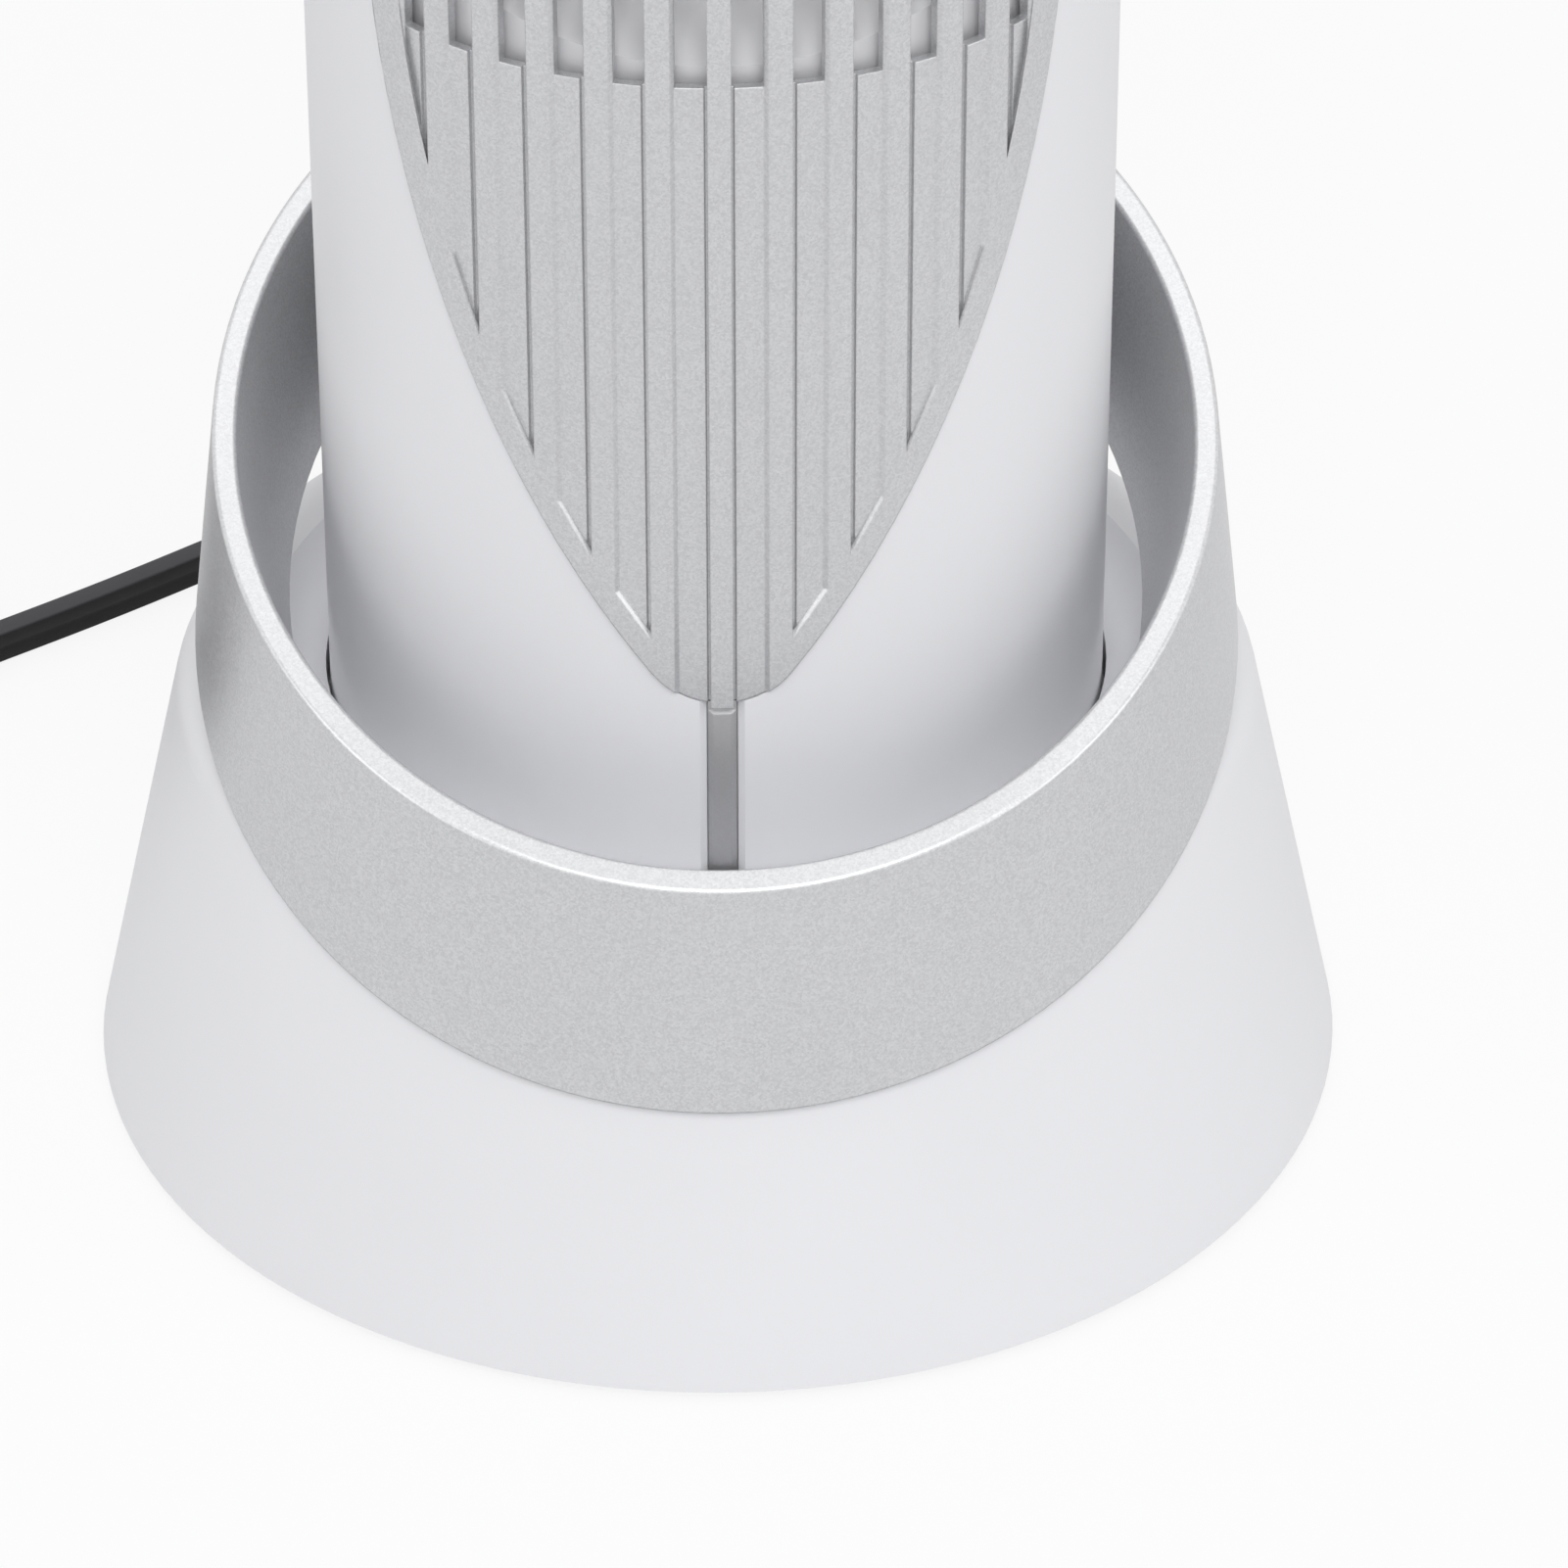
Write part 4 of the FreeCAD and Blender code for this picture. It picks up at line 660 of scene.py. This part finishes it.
def makeTailBar(values):
    low, high = (Vector(corner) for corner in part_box("tail_strip"))
    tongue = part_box("leaf_grille")[0][2]
    piece = startPiece("tailBar", bpy.ops.mesh.primitive_cube_add, size=1.0, location=(low + high) / 2,
                       scale=high - low)
    pick(piece, "FACE", lambda face: face.normal.y < -squareOn)
    bpy.ops.transform.translate(value=(0, values["bevelDepth"], 0))
    bpy.ops.mesh.inset(thickness=values["seat"], depth=0)

    # the face within the rim ends under the tongue, and then comes forward between its bevels
    rim = high.x - values["seat"] / 2
    pick(piece, "VERT", lambda corner: abs(corner.co.x) < rim and corner.co.z > tongue)
    bpy.ops.transform.translate(value=(0, 0, tongue - values["underTongue"] - high.z))
    pick(piece, "FACE", lambda face: all(abs(corner.co.x) < rim for corner in face.verts))
    bpy.ops.mesh.inset(thickness=values["sideBevel"], depth=values["bevelDepth"])
    front = low.y + values["bevelDepth"] / 2
    pick(piece, "VERT", lambda corner: corner.co.y < front and corner.co.z > (low.z + high.z) / 2)
    bpy.ops.transform.translate(value=(0, 0, values["sideBevel"] - values["topBevel"]))
    closePiece(piece, "stripPaint", "tower", ["tail_strip"], values["edge"])


# dark inlay in the knob's groove
pointer = {
    "from": -0.0138,
    "to": -0.0059,
    "width": 0.0014,
    "endRound": 0.42,  # of its width
    "endSteps": 4,
    "depth": 0.0006,
    "sunk": 0.00012,
    "edge": 0.0001,
}


def makePointer(values):
    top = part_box("control_knob")[1][2]
    bottom = top - values["depth"]
    ceiling = top - values["sunk"]
    piece = startPiece("knobPointer", bpy.ops.mesh.primitive_cube_add, size=1.0,
                       location=(0, (values["from"] + values["to"]) / 2, (bottom + ceiling) / 2),
                       scale=(values["width"], values["to"] - values["from"], ceiling - bottom))
    pick(piece, "EDGE", lambda edge: runsAlong(edge, "z"))
    bpy.ops.mesh.bevel(offset=values["width"] * values["endRound"], segments=values["endSteps"])
    closePiece(piece, "blackMoulding", "knob", edge=values["edge"])


# heat marks round the knob, small to large in the way it turns
marks = {
    "count": 5,
    "sweep": 180.0,
    "circle": 0.0225,
    "small": 0.0007,
    "large": 0.0016,
    "sides": 28,
    "rise": 0.0003,
    "topRound": 0.6,  # of the rise
    "topSteps": 3,
}


def makeMarks(values):
    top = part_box("top_cap")[1][2]
    model = startPiece("heatMark1", bpy.ops.mesh.primitive_cylinder_add, vertices=values["sides"],
                       radius=values["large"], depth=values["rise"], location=(0, 0, values["rise"] / 2))
    pick(model, "FACE", lambda face: face.normal.z > squareOn)
    bpy.ops.mesh.bevel(offset=values["rise"] * values["topRound"], segments=values["topSteps"])
    bpy.ops.object.mode_set(mode="OBJECT")
    pieces = [model]
    for number in range(2, values["count"] + 1):
        copy = model.copy()
        copy.data = model.data.copy()
        copy.name = f"heatMark{number}"
        bpy.context.scene.collection.objects.link(copy)
        pieces.append(copy)
    for step, piece in enumerate(pieces):
        share = step / (values["count"] - 1)
        angle = math.radians(values["sweep"] * share)
        size = (values["small"] + (values["large"] - values["small"]) * share) / values["large"]
        selectAlone(piece)
        piece.location = (-values["circle"] * math.sin(angle), -values["circle"] * math.cos(angle), top)
        piece.scale = (size, size, 1)
        bpy.ops.object.transform_apply(location=True, rotation=True, scale=True)
        bpy.ops.object.mode_set(mode="EDIT")
        closePiece(piece, "blackMoulding", "tower")


makeTailBar(tailBar)
makePointer(pointer)
makeMarks(marks)
print("bar, pointer and heat marks made")


# pale floor: mostly white to the eye, partly in reflections, and still a floor that takes the shadow
floor = {
    "size": 8.0,
    "colour": (0.86, 0.86, 0.87),
    "whiteShare": 0.86,
    "mirrorShare": 0.35,
}
white = (1.0, 1.0, 1.0, 1.0)


def makeFloor(values):
    bpy.ops.object.select_all(action="DESELECT")
    bpy.ops.mesh.primitive_plane_add(size=values["size"], location=(0, 0, 0))
    piece = bpy.context.object
    piece.name = "studioFloor"
    paint = Paint(bpy.data.materials.new("studioFloor"))
    eye, mirror, clear = paint.seenBy()
    share = eye * values["whiteShare"] + (mirror + clear) * values["mirrorShare"]
    matt = paint.add("ShaderNodeBsdfDiffuse", None, {"Color": tone(values["colour"], 1.0)})
    glow = paint.add("ShaderNodeEmission", None, {"Color": white, "Strength": 1.0})
    mixed = paint.add("ShaderNodeMixShader", None, {0: share, 1: matt, 2: glow})
    paint.add("ShaderNodeOutputMaterial", None, {"Surface": mixed})
    piece.data.materials.append(paint.owner)


# a sky that looks white but lights only by its ambient share, and soft lamps
studio = {
    "ambient": 0.51,
    "lamps": [  # name, place, width in metres, watts
        ("frontLamp", (0.1, -1.4, 2.0), 1.2, 18.5),
        ("topLamp", (0.0, 0.35, 2.2), 1.2, 4.6),
        ("rightLamp", (1.3, -0.6, 0.6), 0.8, 3.2),
        ("leftLamp", (-1.3, -0.6, 0.6), 0.8, 2.7),
    ],
    "aim": (0.0, 0.0, 0.12),
}


def makeStudio(values):
    world = bpy.data.worlds.new("studio")
    bpy.context.scene.world = world
    paint = Paint(world)
    eye, mirror, clear = paint.seenBy()
    strength = values["ambient"] + (eye + mirror + clear) * (1 - values["ambient"])
    sky = paint.add("ShaderNodeBackground", None, {"Color": white, "Strength": strength})
    paint.add("ShaderNodeOutputWorld", None, {"Surface": sky})
    for name, place, width, watts in values["lamps"]:
        bpy.ops.object.light_add(type="AREA", location=place)
        lamp = bpy.context.object
        lamp.name = name
        lamp.data.size = width
        lamp.data.energy = watts
        lamp.rotation_euler = (Vector(values["aim"]) - Vector(place)).to_track_quat("-Z", "Y").to_euler()


# seen from the front, about 34 degrees up
camera = {
    "place": (-0.01163, -0.8265, 0.60333),
    "tilt": 55.554,
    "turn": -1.4,
    "lens": 179.888,
    "sensor": 36.0,
    "clip": (0.01, 50.0),
}


def makeCamera(values):
    turn = (math.radians(values["tilt"]), 0, math.radians(values["turn"]))
    bpy.ops.object.camera_add(location=values["place"], rotation=turn)
    eye = bpy.context.object
    eye.data.sensor_width = values["sensor"]
    eye.data.lens = values["lens"]
    eye.data.clip_start, eye.data.clip_end = values["clip"]
    bpy.context.scene.camera = eye


makeFloor(floor)
makeStudio(studio)
makeCamera(camera)
bpy.context.scene.view_settings.view_transform = "Standard"
print("studio set")
